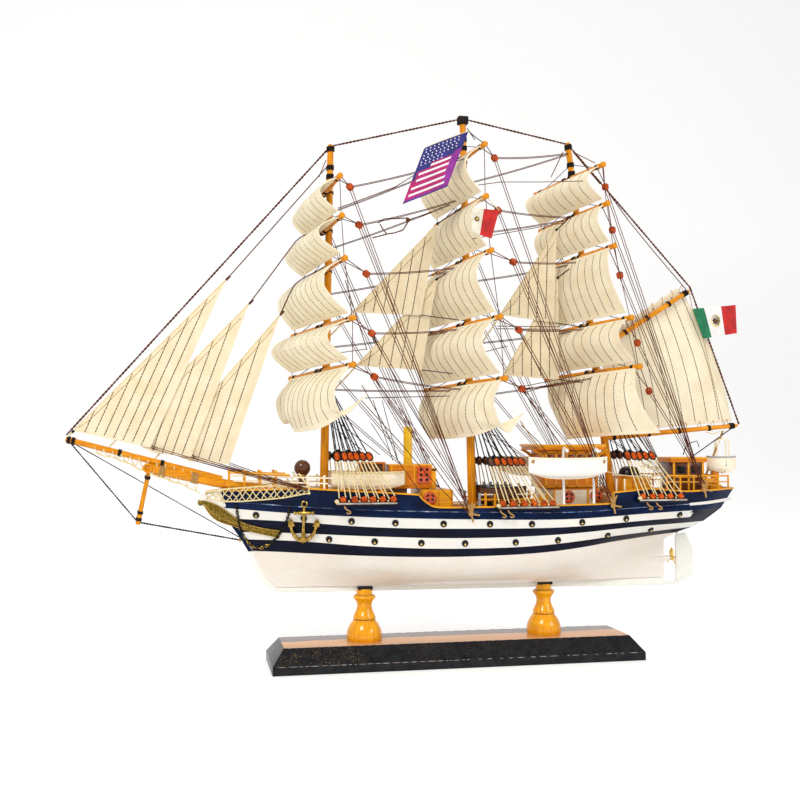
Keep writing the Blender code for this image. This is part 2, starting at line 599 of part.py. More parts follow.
def make_square_sail(mast, number):
    upper, upper_along, upper_half = yard_axis(mast, number)
    lower, lower_along, lower_half = yard_axis(mast, number + 1)
    head_half, foot_half = upper_half - SAIL_INSET, lower_half - SAIL_INSET - 1.0
    depth = SAIL_DEPTHS[mast][number]

    def point(u, v):
        clear = yard_radius(u) + GAP + 0.1
        head = upper + upper_along * head_half * u + forward_of(upper_along) * clear
        head.z -= SAIL_HEAD_DROP
        foot = lower + lower_along * foot_half * u + forward_of(lower_along) * clear
        foot.z += SAIL_FOOT_RISE
        belly = depth * math.sin(math.pi * v**0.85) * (1.0 - 0.12 * u * u)
        return head.lerp(foot, v) + forward_of(upper_along.lerp(lower_along, v)) * belly

    node(f"sail_{mast}_{number + 1}", [sail_sheet(point)], "sail_cloth", sharp_degrees=60.0)


def make_course(mast):
    centre, along, half = yard_axis(mast, 4)
    middle, clew = COURSES[mast]

    def point(u, v):
        mid_x, mid_z = curve_through(middle, v)
        clew_x, clew_z = curve_through(clew, v)
        share = abs(u) ** 4
        aft = mid_x + (clew_x - mid_x) * share
        rise = mid_z + (clew_z - mid_z) * share
        aft += YARD_RADIUS[0] - yard_radius(u)
        return centre + along * (half - SAIL_INSET) * u - forward_of(along) * aft + Vector((0.0, 0.0, rise))

    node(f"sail_{mast}_5", [sail_sheet(point)], "sail_cloth", sharp_degrees=60.0)


def make_jibs():
    for name, (head, tack, low, clew, top, y) in JIBS.items():
        (x0, z0), (x1, z1), radius = JIB_BOOM
        luff = Vector((head[0] - tack[0], 0.0, head[1] - tack[1])).normalized()
        surface = math.sqrt(radius**2 - y**2) / math.cos(math.atan2(z0 - z1, x1 - x0))
        boom_z = z0 + (tack[0] - x0) * (z1 - z0) / (x1 - x0) + surface
        back = max((tack[1] - boom_z - 0.8) / (luff.z + 0.26 * luff.x), 0.0)
        start = Vector((tack[0], y, tack[1])) - luff * back
        head_point, top_point = Vector((head[0], y, head[1])), Vector((top[0], y, top[1]))
        meshes = [plate((head, tack, low, clew), y, SAIL_THICKNESS / 2)]
        meshes.append(rod(start, head_point + luff * 0.5, 0.8, sides=6))
        meshes.append(rod(head_point - luff * 0.5, top_point, 0.7, sides=6))
        node(name, meshes, "sail_cloth")


def make_staysails():
    for name, (head, tack, clew, mast, y) in STAYSAILS.items():
        luff = Vector((head[0] - tack[0], 0.0, head[1] - tack[1])).normalized()
        start = Vector((tack[0], y, tack[1]))
        for _ in range(3):  # the mast leans, so its face is found again at the stay's own height
            mast_x, mast_radius = mast_point(mast, start.z)
            start -= luff * ((start.x - mast_x - mast_radius - GAP - 0.6) / luff.x)
        end = Vector((head[0], y, head[1])) + luff * 1.5
        meshes = [plate((head, tack, clew), y, SAIL_THICKNESS / 2), rod(start, end, 0.8, sides=6)]
        node(name, meshes, "sail_cloth")


def make_spanker():
    node("spanker", [plate(SPANKER, SPANKER_Y, SAIL_THICKNESS / 2)], "sail_cloth")


def hull_side(x, z):
    """Half-breadth of the hull at a place of its topsides, between its stations."""
    places = []
    for s in hull_stations():
        section = hull_section(s)[1:10]
        heights = [row[2] for row in section]
        along = float(np.interp(z, heights, [row[0] for row in section]))
        places.append((along, float(np.interp(z, heights, [row[1] for row in section]))))
    return float(np.interp(x, [place[0] for place in places], [place[1] for place in places]))


def make_channel(mast, side_name, side):
    (x0, x1), z, outer, feet, top_z = CHANNELS[mast]
    xs = [x0 + (x1 - x0) * i / 6 for i in range(7)]
    inner = [max(hull_side(x, z + dz) for dz in (-CHANNEL_THICKNESS, 0.0)) + 3 * GAP for x in xs]
    outline = [(x, side * outer) for x in xs] + [(x, side * y) for x, y in zip(xs[::-1], inner[::-1])]
    board = rings_shell([[(x, y, h) for x, y in outline] for h in (z - CHANNEL_THICKNESS, z)])
    mast_x, mast_radius = mast_point(mast, top_z)
    top = Vector((mast_x, side * (mast_radius + 1.5 + GAP), top_z))
    meshes = [board, knob(top, (0.0, 0.0, 1.0), 1.5, 6)]
    for x in feet:
        foot = Vector((x, side * (outer - 2.6), z + DEADEYE_RADIUS * 0.7))
        share = UPPER_DEADEYE / (top.z - foot.z)
        upper = foot.lerp(top, share)
        meshes.append(knob(foot, top - foot, DEADEYE_RADIUS))
        meshes.append(knob(upper, top - foot, DEADEYE_RADIUS))
        meshes.append(rod(foot, upper, LANYARD_RADIUS, sides=4))
        meshes.append(rod(upper, top, SHROUD_RADIUS, sides=4))
    node(f"channel_{mast}_{side_name}", meshes, "rigging_black")


def make_houses():
    for name, (x, half, z, paint) in HOUSES.items():
        meshes = [box(x, (-half, half), z)]
        if name == "deckhouse_fore":
            meshes.append(box((x[0] + 2.0, x[0] + 16.0), (-half + 2.0, half - 2.0), (147.5, z[0] + 2.0)))
            funnel_x, radius, top = FUNNEL
            meshes.append(rod((funnel_x, 0.0, z[1] - 2.0), (funnel_x, 0.0, top), radius, sides=16))
        if name == "stern_house":
            meshes.append(box(STERN_ROOF[0], (-STERN_ROOF[1], STERN_ROOF[1]), STERN_ROOF[2]))
        node(name, meshes, paint)
    cabin = box(CABIN[0], (-CABIN[1], CABIN[1]), CABIN[2])
    roof = box(CABIN_ROOF[0], (-CABIN_ROOF[1], CABIN_ROOF[1]), CABIN_ROOF[2])
    node("wheelhouse", [cabin, roof], "house_orange")


def make_poop_house():
    house = box(POOP_HOUSE[0], (-POOP_HOUSE[1], POOP_HOUSE[1]), POOP_HOUSE[2])
    (x0, x1), half, top = POOP_DOME
    base = POOP_HOUSE[2][1] - 1.0
    profile = ((0.0, 1.0), (0.35, 0.97), (0.7, 0.8), (0.9, 0.5), (1.0, 0.2))
    rings = []
    for share, scale in profile:
        ring = []
        for i in range(16):
            a = 2 * math.pi * i / 16
            ring.append(((x0 + x1) / 2 + (x1 - x0) / 2 * scale * math.cos(a), half * scale * math.sin(a),
                         base + (top - base) * share))
        rings.append(ring)
    node("poop_house", [house, rings_shell(rings)], "house_orange")


def make_capstan():
    x, z, radius = BALL
    deck = line_value(RAIL_LINE, x, 2) + 0.6
    ball = turned((x, 0.0, z - radius), (x, 0.0, z + radius),
                  tuple(((1 - math.cos(a)) / 2, radius * max(math.sin(a), 0.12))
                        for a in [math.pi * i / 6 for i in range(7)]), 12)
    post = turned((x, 0.0, deck), (x, 0.0, z), ((0.0, 5.0), (0.25, 4.0), (0.5, 3.0), (1.0, 2.5)), 8)
    node("capstan", [ball, post], "house_brown")


def boat_shell(x, y, z, length, breadth, depth):
    """A small round-bilged boat, pointed at both ends, its top slightly crowned."""
    rings = []
    for k in range(7):
        t = -1 + 2 * k / 6
        plan = max((1 - abs(t) ** 2.4), 0.06)
        rise = depth * 0.30 * abs(t) ** 3
        half = breadth / 2 * plan
        section = ((0.0, rise), (0.62, rise + depth * 0.10), (0.95, rise + depth * 0.42), (1.0, depth * 0.95 + rise * 0.15))
        ring = [(x + t * length / 2, y + half * w, z + h) for w, h in section[1:]]
        ring.append((x + t * length / 2, y, z + depth + rise * 0.15))
        ring += [(x + t * length / 2, y - half * w, z + h) for w, h in section[:0:-1]]
        ring.append((x + t * length / 2, y, z + rise))
        rings.append(ring)
    return rings_shell(rings)


def make_boats():
    for name, (x, y, z, length, breadth, depth, paint) in BOATS.items():
        meshes = [boat_shell(x, y, z, length, breadth, depth)]
        if name.startswith("waist"):
            meshes.append(box((x - 10.0, x + 10.0), (y - 3.0, y + 3.0), (133.6, z + 4.0)))
        if name.startswith("longboat"):
            deck = line_value(RAIL_LINE, x + 12.0, 2) + 1.6
            meshes.append(box((x - 14.0, x - 8.0), (y - 3.0, y + 3.0), (deck, z + 4.0)))
            meshes.append(box((x + 8.0, x + 14.0), (y - 3.0, y + 3.0), (deck, z + 4.0)))
        if name.startswith("boat"):
            side = math.copysign(1.0, y)
            for at in DAVIT_X:
                foot = Vector((at, side * 38.0, line_value(RAIL_LINE, at, 1) + GAP))
                knee = Vector((at, side * 37.0, DAVIT_TOP))
                head = Vector((at, y, DAVIT_TOP - 2.0))
                meshes.append(rod(foot, knee + Vector((0.0, 0.0, 0.6)), 1.3, sides=6))
                meshes.append(rod(knee - Vector((0.0, side * 0.6, 0.0)), head, 1.2, sides=6))
                meshes.append(rod(head + Vector((0.0, 0.0, 0.5)), Vector((at, y, z + depth - 2.0)), 1.0, sides=6))
        if name.startswith("stern"):
            meshes.append(box((x - 10.0, x - 4.0), (y - 3.0, y + 3.0), (147.8, z + 4.0)))
        node(name, meshes, paint)


def make_anchor(side_name, side):
    def against_hull(at_x, at_z):
        return Vector((at_x, side * (hull_side(at_x, at_z) + 2 * GAP + ANCHOR_FLUKE), at_z))

    x, ring_z, stock_half, foot_z = ANCHOR
    ring, foot = against_hull(x, ring_z), against_hull(x, foot_z)
    stock_z = ring_z - 6.0
    meshes = [rod(ring, foot, 1.3, sides=6), knob(ring, (0.0, 0.0, 1.0), 2.3)]
    meshes.append(rod(against_hull(x - stock_half, stock_z), against_hull(x + stock_half, stock_z), 1.5, sides=6))
    reach, steps = 10.5, 3
    for mirror in (-1, 1):
        points = []
        for i in range(steps + 1):
            a = math.radians(90.0 * i / steps)
            points.append(against_hull(x + mirror * reach * math.sin(a), foot_z + reach * 1.5 * (1 - math.cos(a))))
        for start, end in zip(points, points[1:]):
            meshes.append(rod(start, end + (end - start) * 0.12, 1.5, sides=6))
        meshes.append(knob(points[-1], (0.0, 0.0, 1.0), ANCHOR_FLUKE))
    node("anchor_" + side_name, meshes, "brass")


def make_flags():
    yard_centre, along, half = yard_axis("main", 0)
    yard_end = yard_centre - along * (half + KNOB_RADIUS + GAP + 0.6)
    halyard = rod((FLAG_MAIN[1][0] - 4.0, FLAG_MAIN_Y, FLAG_MAIN[1][1] - 4.0), yard_end, 0.6, sides=6)
    node("flag_main", [plate(FLAG_MAIN, FLAG_MAIN_Y, 0.5), halyard], "flag_blue")
    node("ensign", [plate(ENSIGN, ENSIGN_Y, 0.5)], "flag_green")


def main():
    clear_scene()
    make_plinth()
    make_pedestals()
    make_hull()
    make_keel_board()
    make_rudder()
    make_propeller()
    make_bowsprit()
    for mast in MASTS:
        make_mast(mast)
        for number in range(4):
            make_square_sail(mast, number)
        make_course(mast)
        for side_name, side in (("port", -1.0), ("starboard", 1.0)):
            make_channel(mast, side_name, side)
    make_masthead_stays()
    make_jibs()
    make_staysails()
    make_spanker()
    make_houses()
    make_poop_house()
    make_capstan()
    make_boats()
    for side_name, side in (("port", -1.0), ("starboard", 1.0)):
        make_anchor(side_name, side)
    make_flags()


main()
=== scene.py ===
"""Looks of a wooden display model of a three-masted full-rigged sailing ship on its stand.

Lengths are in millimetres and become metres when a piece is made. +X is aft, +Y starboard,
+Z up, and the origin is the centre of the plinth's underside.
"""
import math
import random

import bmesh
import bpy
import numpy as np
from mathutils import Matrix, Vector


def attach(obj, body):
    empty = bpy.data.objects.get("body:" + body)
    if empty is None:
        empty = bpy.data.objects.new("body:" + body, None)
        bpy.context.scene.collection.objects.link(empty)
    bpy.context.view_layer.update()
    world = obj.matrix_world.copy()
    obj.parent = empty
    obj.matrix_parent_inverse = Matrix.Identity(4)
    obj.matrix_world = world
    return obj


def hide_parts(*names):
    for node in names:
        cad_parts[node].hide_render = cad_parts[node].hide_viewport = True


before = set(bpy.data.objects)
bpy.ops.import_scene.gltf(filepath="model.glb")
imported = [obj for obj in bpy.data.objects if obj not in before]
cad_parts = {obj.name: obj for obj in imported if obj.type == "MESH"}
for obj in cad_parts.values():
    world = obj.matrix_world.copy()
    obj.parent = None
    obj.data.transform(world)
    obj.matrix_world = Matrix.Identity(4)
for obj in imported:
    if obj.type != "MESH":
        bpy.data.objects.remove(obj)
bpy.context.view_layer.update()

MM = 0.001
UP = Vector((0.0, 0.0, 1.0))
SIDES = {-1.0: "port", 1.0: "starboard"}
random.seed(7)

# Camera, solved from the plinth's corners and the mastheads
CAMERA_PLACE = (-235.1, -919.4, 195.2)
CAMERA_YAW = 11.38
CAMERA_PITCH = 2.18
CAMERA_LENS = 47.43

# Hull: the same driving tables as the solid hull
FLOOR_Z = 68.0
HULL_LEVELS = (  # s, low bilge, turn, waterline, low stripe bottom and top, high stripe bottom and top
    (0.00, 78.0, 88.0, 100.0, 110.0, 116.5, 128.0, 137.0),
    (0.12, 77.0, 86.0, 98.0, 108.5, 115.5, 125.5, 133.0),
    (0.25, 76.0, 85.0, 96.3, 105.0, 113.5, 121.5, 130.0),
    (0.47, 76.0, 85.0, 95.0, 102.0, 111.0, 119.0, 127.0),
    (0.66, 76.0, 86.0, 97.0, 103.5, 112.5, 119.0, 126.0),
    (0.84, 79.0, 91.0, 103.5, 110.5, 118.0, 123.5, 130.0),
    (1.00, 86.0, 103.5, 109.5, 114.5, 120.0, 126.0, 132.5),
)
HULL_BREADTHS = (  # s, floor, low bilge, turn, waterline, stripe 1 bottom, top, stripe 2 bottom, top, rail
    (0.00, 1.5, 1.6, 1.6, 1.7, 1.8, 1.9, 2.0, 2.2, 3.0),
    (0.05, 1.7, 2.4, 3.2, 4.2, 5.2, 6.0, 7.6, 9.0, 12.0),
    (0.12, 2.6, 5.4, 8.6, 11.6, 14.2, 15.6, 18.0, 19.8, 23.0),
    (0.22, 6.0, 13.5, 19.5, 24.0, 27.0, 28.4, 30.0, 31.2, 33.0),
    (0.34, 10.5, 23.0, 29.5, 33.0, 35.0, 36.0, 36.8, 37.2, 37.6),
    (0.50, 13.0, 27.5, 34.0, 37.0, 38.2, 38.8, 39.2, 39.3, 39.3),
    (0.64, 12.0, 25.0, 32.5, 36.2, 37.8, 38.5, 39.0, 39.2, 39.2),
    (0.78, 7.0, 14.5, 22.5, 29.5, 33.0, 35.0, 36.4, 37.0, 37.4),
    (0.88, 3.0, 5.4, 9.5, 16.5, 22.0, 26.5, 30.0, 32.0, 33.5),
    (0.95, 1.8, 2.2, 3.4, 6.5, 12.0, 17.5, 22.0, 25.0, 28.0),
    (1.00, 1.5, 1.6, 1.8, 2.4, 5.0, 8.0, 11.0, 13.5, 16.0),
)
STEM_LINE = ((FLOOR_Z, -159.0), (78.0, -168.5), (88.0, -174.0), (100.0, -179.5), (112.0, -187.0),
             (122.0, -193.5), (132.0, -201.0), (145.0, -207.0), (156.0, -207.0))
STERN_LINE = ((FLOOR_Z, 200.0), (103.5, 200.0), (109.5, 213.0), (114.5, 227.0), (120.0, 237.0),
              (126.0, 244.0), (132.5, 252.0), (141.0, 268.0), (151.5, 264.0))
RAIL_LINE = (  # x, rail, deck
    (-210.0, 152.7, 149.0), (-190.0, 153.0, 149.0), (-139.0, 155.0, 150.5), (-60.0, 150.5, 147.0),
    (-41.5, 149.3, 146.5), (-39.5, 146.3, 146.0), (-38.0, 144.4, 133.2), (-35.8, 142.0, 133.2),
    (-33.0, 140.1, 133.2), (-28.6, 138.7, 133.2), (-20.0, 138.0, 133.0),
    (60.0, 138.2, 133.0), (129.0, 139.5, 133.6), (136.0, 149.5, 145.5), (171.0, 152.5, 148.0),
    (208.0, 149.5, 146.5), (270.0, 151.5, 147.5),
)
RAIL_BREAKS = (  # x of extra stations where the rail steps
    -41.5, -40.4, -39.5, -38.7, -38.0, -37.0, -35.8, -34.4, -33.0, -30.8, -28.6, 129.0, 131.0, 134.0, 136.0,
)
RAIL_Z = 150.0             # height at which x is measured along the hull
RAIL_WIDTH = 2.2
WALE_HEIGHT = 6.5          # of the raised wale above the high stripe
STRIPE_RELIEF = 0.35
WALE_RELIEF = 0.7
STRIPE_END_X = 213.5       # square after end of the high stripe
STRIPE_END_Z = 119.5       # the low stripe, which runs on, is below this
HULL_STATIONS = 190
SIDE_STATIONS = 60         # of the coarser hull that fittings are placed on
SIDE_STEP = 2.0
PORT_X_HIGH = (-177.2, -137.7, -98.2, -61.3, -19.8, 21.2, 59.0, 105.5, 147.6, 202.5)
PORT_X_LOW = (-116.1, -78.4, -38.9, -0.8, 44.4, 83.4, 131.4, 177.0)
PORT_RADIUS = 2.9
STERN_BAND = ((211.7, 135.6, 138.2), (236.0, 137.0, 139.8), (262.0, 138.8, 142.0))
SCROLL = (  # gilt plate at the bow: x, lower edge, upper edge
    (-222.0, 141.0, 143.6), (-216.0, 131.4, 142.3), (-211.0, 126.8, 140.4), (-204.3, 123.7, 136.4),
    (-197.5, 121.8, 131.2), (-190.6, 119.6, 126.0), (-177.9, 115.9, 121.4), (-157.2, 111.3, 117.7),
)
CHAIN = (  # x, z of the port chain's loop along the hull's side
    (-193.4, 140.9), (-192.9, 133.3), (-190.8, 122.5), (-187.4, 112.4), (-181.7, 105.1),
    (-177.4, 102.8), (-172.1, 102.6), (-165.7, 105.7), (-159.3, 111.5), (-154.8, 119.4),
    (-152.1, 125.0), (-149.8, 133.6), (-149.0, 142.0),
)

# Keel board, shaft, propeller and rudder
BEAK_TIP = (-228.0, 145.0)
BOARD_EDGE = (
    (-226.0, 140.5), (-212.0, 133.5), (-198.0, 122.0), (-189.5, 110.0), (-183.0, 99.0),
    (-174.5, 80.0), (-169.0, 70.5), (-158.0, 64.0), (-140.0, 63.2), (90.0, 62.0),
    (216.0, 60.5), (216.0, 63.7), (200.2, 64.6),
)
BOARD_HALF = 1.5
SHAFT_Z = 85.5
SHAFT_CONE = (132.0, 206.6, 2.8)          # x of its tip and its end, radius
PROP_X = (207.0, 210.6)
PROP_RADIUS = 9.5
PROP_BLADES = 3
BLADE_STAGES, BLADE_SIDES = 9, 8
RUDDER_OUTLINE = (
    (212.3, 64.2), (218.5, 64.2), (229.5, 70.5), (229.5, 95.0), (222.0, 108.6), (212.3, 106.8),
)
RUDDER_STOCK = (214.0, 1.1, 109.4)        # x, radius, top

# Plinth and pedestals
PLINTH_BASE = (330.0, 76.0)
PLINTH_TOP = (309.5, 51.5)
PLINTH_BAND = 7.2
PLINTH_HEIGHT = 20.5
PEDESTAL_X = {"pedestal_fore": -82.0, "pedestal_aft": 83.0}
PEDESTAL_PROFILE = (  # radius, height above the plinth
    (15.0, 0.0), (15.6, 1.6), (15.7, 4.5), (15.2, 8.0), (13.9, 11.4), (12.0, 14.6), (10.3, 16.9),
    (9.5, 17.7), (9.35, 18.2), (9.9, 18.8), (10.1, 19.6), (9.6, 21.2), (8.2, 24.0), (7.0, 27.0),
    (6.5, 30.0), (6.9, 32.4), (8.2, 34.6), (9.6, 36.3), (10.1, 37.4), (9.9, 38.4), (9.2, 39.0),
    (7.3, 39.2), (7.15, 40.0), (7.1, 43.0), (6.9, 44.6),
)
PAD_TOP = 46.9             # top of the black pad under the hull, above the plinth


# Materials


def new_material(name, roughness=0.5, metallic=0.0, coat=0.0, sheen=0.0, gloss=0.3):
    made = bpy.data.materials.new(name)
    made.use_nodes = True
    shader = made.node_tree.nodes["Principled BSDF"]
    shader.inputs["Roughness"].default_value = roughness
    shader.inputs["Metallic"].default_value = metallic
    shader.inputs["Coat Weight"].default_value = coat
    shader.inputs["Coat Roughness"].default_value = 0.08
    shader.inputs["Sheen Weight"].default_value = sheen
    shader.inputs["Specular IOR Level"].default_value = gloss
    return made


def shader_of(made):
    return made.node_tree.nodes["Principled BSDF"]


def place_output(made, stretch=(1.0, 1.0, 1.0)):
    """Object coordinates in millimetres, stretched."""
    nodes, links = made.node_tree.nodes, made.node_tree.links
    coordinates = nodes.get("Texture Coordinate") or nodes.new("ShaderNodeTexCoord")
    mapping = nodes.new("ShaderNodeMapping")
    mapping.inputs["Scale"].default_value = [share / MM for share in stretch]
    links.new(coordinates.outputs["Object"], mapping.inputs["Vector"])
    return mapping.outputs["Vector"]


def noise(made, size, detail=3.0, roughness=0.55, stretch=(1.0, 1.0, 1.0), distortion=0.0):
    """Noise whose features are about size millimetres across."""
    texture = made.node_tree.nodes.new("ShaderNodeTexNoise")
    texture.inputs["Scale"].default_value = 1.0 / size
    texture.inputs["Detail"].default_value = detail
    texture.inputs["Roughness"].default_value = roughness
    texture.inputs["Distortion"].default_value = distortion
    made.node_tree.links.new(place_output(made, stretch), texture.inputs["Vector"])
    return texture.outputs["Fac"]


def waves(made, size, direction, distortion=0.0, stretch=(1.0, 1.0, 1.0)):
    """Bands of about size millimetres along a direction."""
    texture = made.node_tree.nodes.new("ShaderNodeTexWave")
    texture.bands_direction = direction
    texture.inputs["Scale"].default_value = 0.314 / size
    texture.inputs["Distortion"].default_value = distortion
    texture.inputs["Detail"].default_value = 2.0
    made.node_tree.links.new(place_output(made, stretch), texture.inputs["Vector"])
    return texture.outputs["Fac"]


def spots(made, size, edge):
    """Small specks, 1 inside a speck, of about size millimetres apart."""
    texture = made.node_tree.nodes.new("ShaderNodeTexVoronoi")
    texture.inputs["Scale"].default_value = 1.0 / size
    made.node_tree.links.new(place_output(made), texture.inputs["Vector"])
    return ramp(made, texture.outputs["Distance"], ((0.0, 1.0), (edge, 0.0)))


def ramp(made, source, stops):
    """A ramp over the source; the stops hold a place and a grey or a colour."""
    node = made.node_tree.nodes.new("ShaderNodeValToRGB")
    elements = node.color_ramp.elements
    while len(elements) < len(stops):
        elements.new(0.5)
    for element, (position, value) in zip(elements, stops):
        element.position = position
        colour = value if isinstance(value, tuple) else (value, value, value)
        element.color = (*colour, 1.0)
    made.node_tree.links.new(source, node.inputs["Fac"])
    return node.outputs["Color"]


def mixed(made, factor, first, second, blend="MIX"):
    node = made.node_tree.nodes.new("ShaderNodeMix")
    node.data_type = "RGBA"
    node.blend_type = blend
    sockets = [s for s in node.inputs if s.enabled]
    for socket, value in zip(sockets, (factor, first, second)):
        if isinstance(value, bpy.types.NodeSocket):
            made.node_tree.links.new(value, socket)
        elif isinstance(value, tuple):
            socket.default_value = (*value, 1.0)
        else:
            socket.default_value = value
    return [s for s in node.outputs if s.enabled][0]


def combined(made, operation, first, second):
    node = made.node_tree.nodes.new("ShaderNodeMath")
    node.operation = operation
    for socket, value in zip(node.inputs, (first, second)):
        if isinstance(value, bpy.types.NodeSocket):
            made.node_tree.links.new(value, socket)
        else:
            socket.default_value = value
    return node.outputs["Value"]


def paint_with(made, colour=None, height=None, depth=0.1, roughness=None):
    """Links a colour, a bump height (depth in millimetres) and a roughness to the shader."""
    links, shader = made.node_tree.links, shader_of(made)
    if colour is not None:
        links.new(colour, shader.inputs["Base Color"])
    if roughness is not None:
        links.new(roughness, shader.inputs["Roughness"])
    if height is not None:
        bump = made.node_tree.nodes.new("ShaderNodeBump")
        bump.inputs["Distance"].default_value = depth * MM
        bump.inputs["Strength"].default_value = 1.0
        links.new(height, bump.inputs["Height"])
        links.new(bump.outputs["Normal"], shader.inputs["Normal"])
    return made


def wood(name, dark, light, along="x", roughness=0.35, coat=0.3, grain=0.9, length=26.0):
    """Varnished wood with its grain along an axis."""
    made = new_material(name, roughness, coat=coat, gloss=0.15)
    stretch = tuple(1.0 / length * grain if axis == along else 1.0 for axis in "xyz")
    fine = noise(made, grain, 5.0, 0.6, stretch, 0.4)
    broad = noise(made, 9.0, 2.0, 0.5, tuple(0.12 if axis == along else 1.0 for axis in "xyz"))
    middle = tuple((a + b) / 2 for a, b in zip(dark, light))
    grain_colour = ramp(made, fine, ((0.28, dark), (0.5, middle), (0.68, light)))
    patch = ramp(made, broad, ((0.3, 0.72), (0.65, 1.0)))
    colour = mixed(made, 0.55, grain_colour, patch, "MULTIPLY")
    rough = ramp(made, fine, ((0.2, roughness * 1.4), (0.8, roughness * 0.8)))
    return paint_with(made, colour, fine, 0.05, rough)


def paint(name, colour, second, roughness=0.3, coat=0.2, patch=14.0, brush=(0.15, 1.0, 1.0), depth=0.06,
          gloss=0.3):
    """Hand-brushed paint: two tones in soft patches, with brush marks."""
    made = new_material(name, roughness, coat=coat, gloss=gloss)
    marks = noise(made, 0.9, 4.0, 0.6, brush)
    broad = noise(made, patch, 3.0, 0.6, (0.5, 1.0, 1.0))
    toned = ramp(made, broad, ((0.38, colour), (0.68, second)))
    colour_out = mixed(made, 0.25, toned, ramp(made, marks, ((0.3, 0.7), (0.65, 1.0))), "MULTIPLY")
    rough = ramp(made, marks, ((0.2, roughness * 1.35), (0.8, roughness * 0.75)))
    return paint_with(made, colour_out, marks, depth, rough)


def navy_with_highlight_and_wear(name):
    """Navy with a painted highlight along its raised edge, light blue to grey, broken in places along the
    ship's length like rubbed paint.
    """
    made = new_material(name, 0.3, coat=0.4)
    rubbed = ramp(made, noise(made, 16.0, 4.0, 0.7, (1.0, 0.2, 0.2)), ((0.45, 0.0), (0.60, 1.0)))
    broad = ramp(made, noise(made, 60.0, 2.0, 0.5, (1.0, 0.0, 0.0)), ((0.40, 0.0), (0.56, 1.0)))
    # mask of the painted highlight and rubbed paint along the raised edge
    wear_and_highlight = combined(made, "MULTIPLY", rubbed, broad)
    tones = ((0.4, (0.10, 0.26, 0.55)), (0.6, (0.62, 0.66, 0.74)))
    tint = ramp(made, noise(made, 5.0, 3.0, 0.6, (1.0, 0.3, 0.3)), tones)
    return paint_with(made, mixed(made, wear_and_highlight, (0.007, 0.020, 0.075), tint), rubbed, 0.1)


def metal(name, dark, light, roughness=0.32, size=2.0):
    """Cast metal with tarnish in soft patches."""
    made = new_material(name, roughness, metallic=1.0)
    tarnish = noise(made, size, 4.0, 0.65)
    colour = ramp(made, tarnish, ((0.35, dark), (0.62, light)))
    rough = ramp(made, tarnish, ((0.3, roughness * 1.6), (0.7, roughness * 0.7)))
    return paint_with(made, colour, tarnish, 0.08, rough)


def thread(name, dark, light):
    """Twisted thread."""
    made = new_material(name, 0.75, gloss=0.08)
    strand = noise(made, 0.7, 2.0, 0.6)
    return paint_with(made, ramp(made, strand, ((0.3, dark), (0.7, light))), strand, 0.12)


def cloth(name, dark, light, stain_and_painted_shadow):
    """Starched cotton: a fine weave, soft shade in patches, and a few stains."""
    made = new_material(name, 0.9, gloss=0.1)
    weft = waves(made, 0.33, "Z", 0.6)
    warp = waves(made, 0.33, "DIAGONAL", 0.6, (1.0, 1.0, 0.0))
    weave = combined(made, "MULTIPLY", weft, warp)
    broad = noise(made, 16.0, 4.0, 0.6)
    blots = ramp(made, noise(made, 26.0, 5.0, 0.7, (1.0, 1.0, 0.8)), ((0.58, 0.0), (0.72, 0.55)))
    toned = ramp(made, broad, ((0.35, dark), (0.62, light)))
    stained = mixed(made, blots, toned, stain_and_painted_shadow)
    woven = mixed(made, 0.16, stained, ramp(made, weave, ((0.0, 0.62), (0.8, 1.0))), "MULTIPLY")
    crease = combined(made, "ADD", weave, combined(made, "MULTIPLY", broad, 1.6))
    return paint_with(made, woven, crease, 0.14)


NAVY = paint("paint_navy", (0.0018, 0.0055, 0.024), (0.0030, 0.014, 0.062), 0.30, 0.05, gloss=0.07)
NAVY_EDGE = navy_with_highlight_and_wear("paint_navy_edge")
BAND_NAVY = paint("paint_dark_navy", (0.0030, 0.0032, 0.010), (0.006, 0.008, 0.026), 0.4, 0.04, gloss=0.07)
STRIPE = paint("paint_stripe", (0.84, 0.79, 0.71), (0.72, 0.74, 0.72), 0.38, 0.1, 22.0)
BOTTOM = paint("paint_bottom", (0.82, 0.77, 0.70), (0.76, 0.68, 0.58), 0.22, 0.5, 40.0, (0.1, 1.0, 1.0), 0.04)
BOARD = paint("paint_board", (0.86, 0.85, 0.78), (0.80, 0.80, 0.72), 0.4, 0.2, 30.0)
BLACK = paint("paint_black", (0.004, 0.004, 0.005), (0.010, 0.010, 0.011), 0.28, 0.15, gloss=0.15)
CREAM = paint("paint_cream", (0.96, 0.88, 0.70), (0.88, 0.77, 0.55), 0.42, 0.1, 12.0)
WHITE_GLOSS = paint("paint_white_gloss", (0.90, 0.89, 0.85), (0.84, 0.82, 0.77), 0.14, 0.8, 20.0)
YELLOW = paint("paint_yellow", (0.88, 0.55, 0.005), (0.74, 0.42, 0.004), 0.25, 0.5, 8.0, (1.0, 1.0, 0.15))
ORANGE_BUTTON = paint("paint_orange_button", (0.74, 0.10, 0.010), (0.50, 0.055, 0.008), 0.22, 0.6, 3.0)
SPAR_X = wood("varnish_spar_x", (0.50, 0.14, 0.002), (0.96, 0.39, 0.005), "x", 0.3, 0.15)
SPAR_Y = wood("varnish_spar_y", (0.50, 0.14, 0.002), (0.96, 0.39, 0.005), "y", 0.3, 0.15)
SPAR_Z = wood("varnish_spar_z", (0.50, 0.14, 0.002), (0.98, 0.40, 0.004), "z", 0.28, 0.15)
RAIL_WOOD = wood("varnish_rail", (0.66, 0.24, 0.006), (1.0, 0.48, 0.016), "x", 0.32, 0.15)
HOUSE_WOOD = wood("varnish_house", (0.50, 0.13, 0.004), (0.92, 0.30, 0.010), "x", 0.34, 0.15)
BROWN_WOOD = wood("varnish_brown", (0.045, 0.012, 0.004), (0.16, 0.05, 0.015), "x", 0.24, 0.6)
DECK_WOOD = wood("wood_deck", (0.42, 0.20, 0.055), (0.72, 0.42, 0.16), "x", 0.5, 0.1)
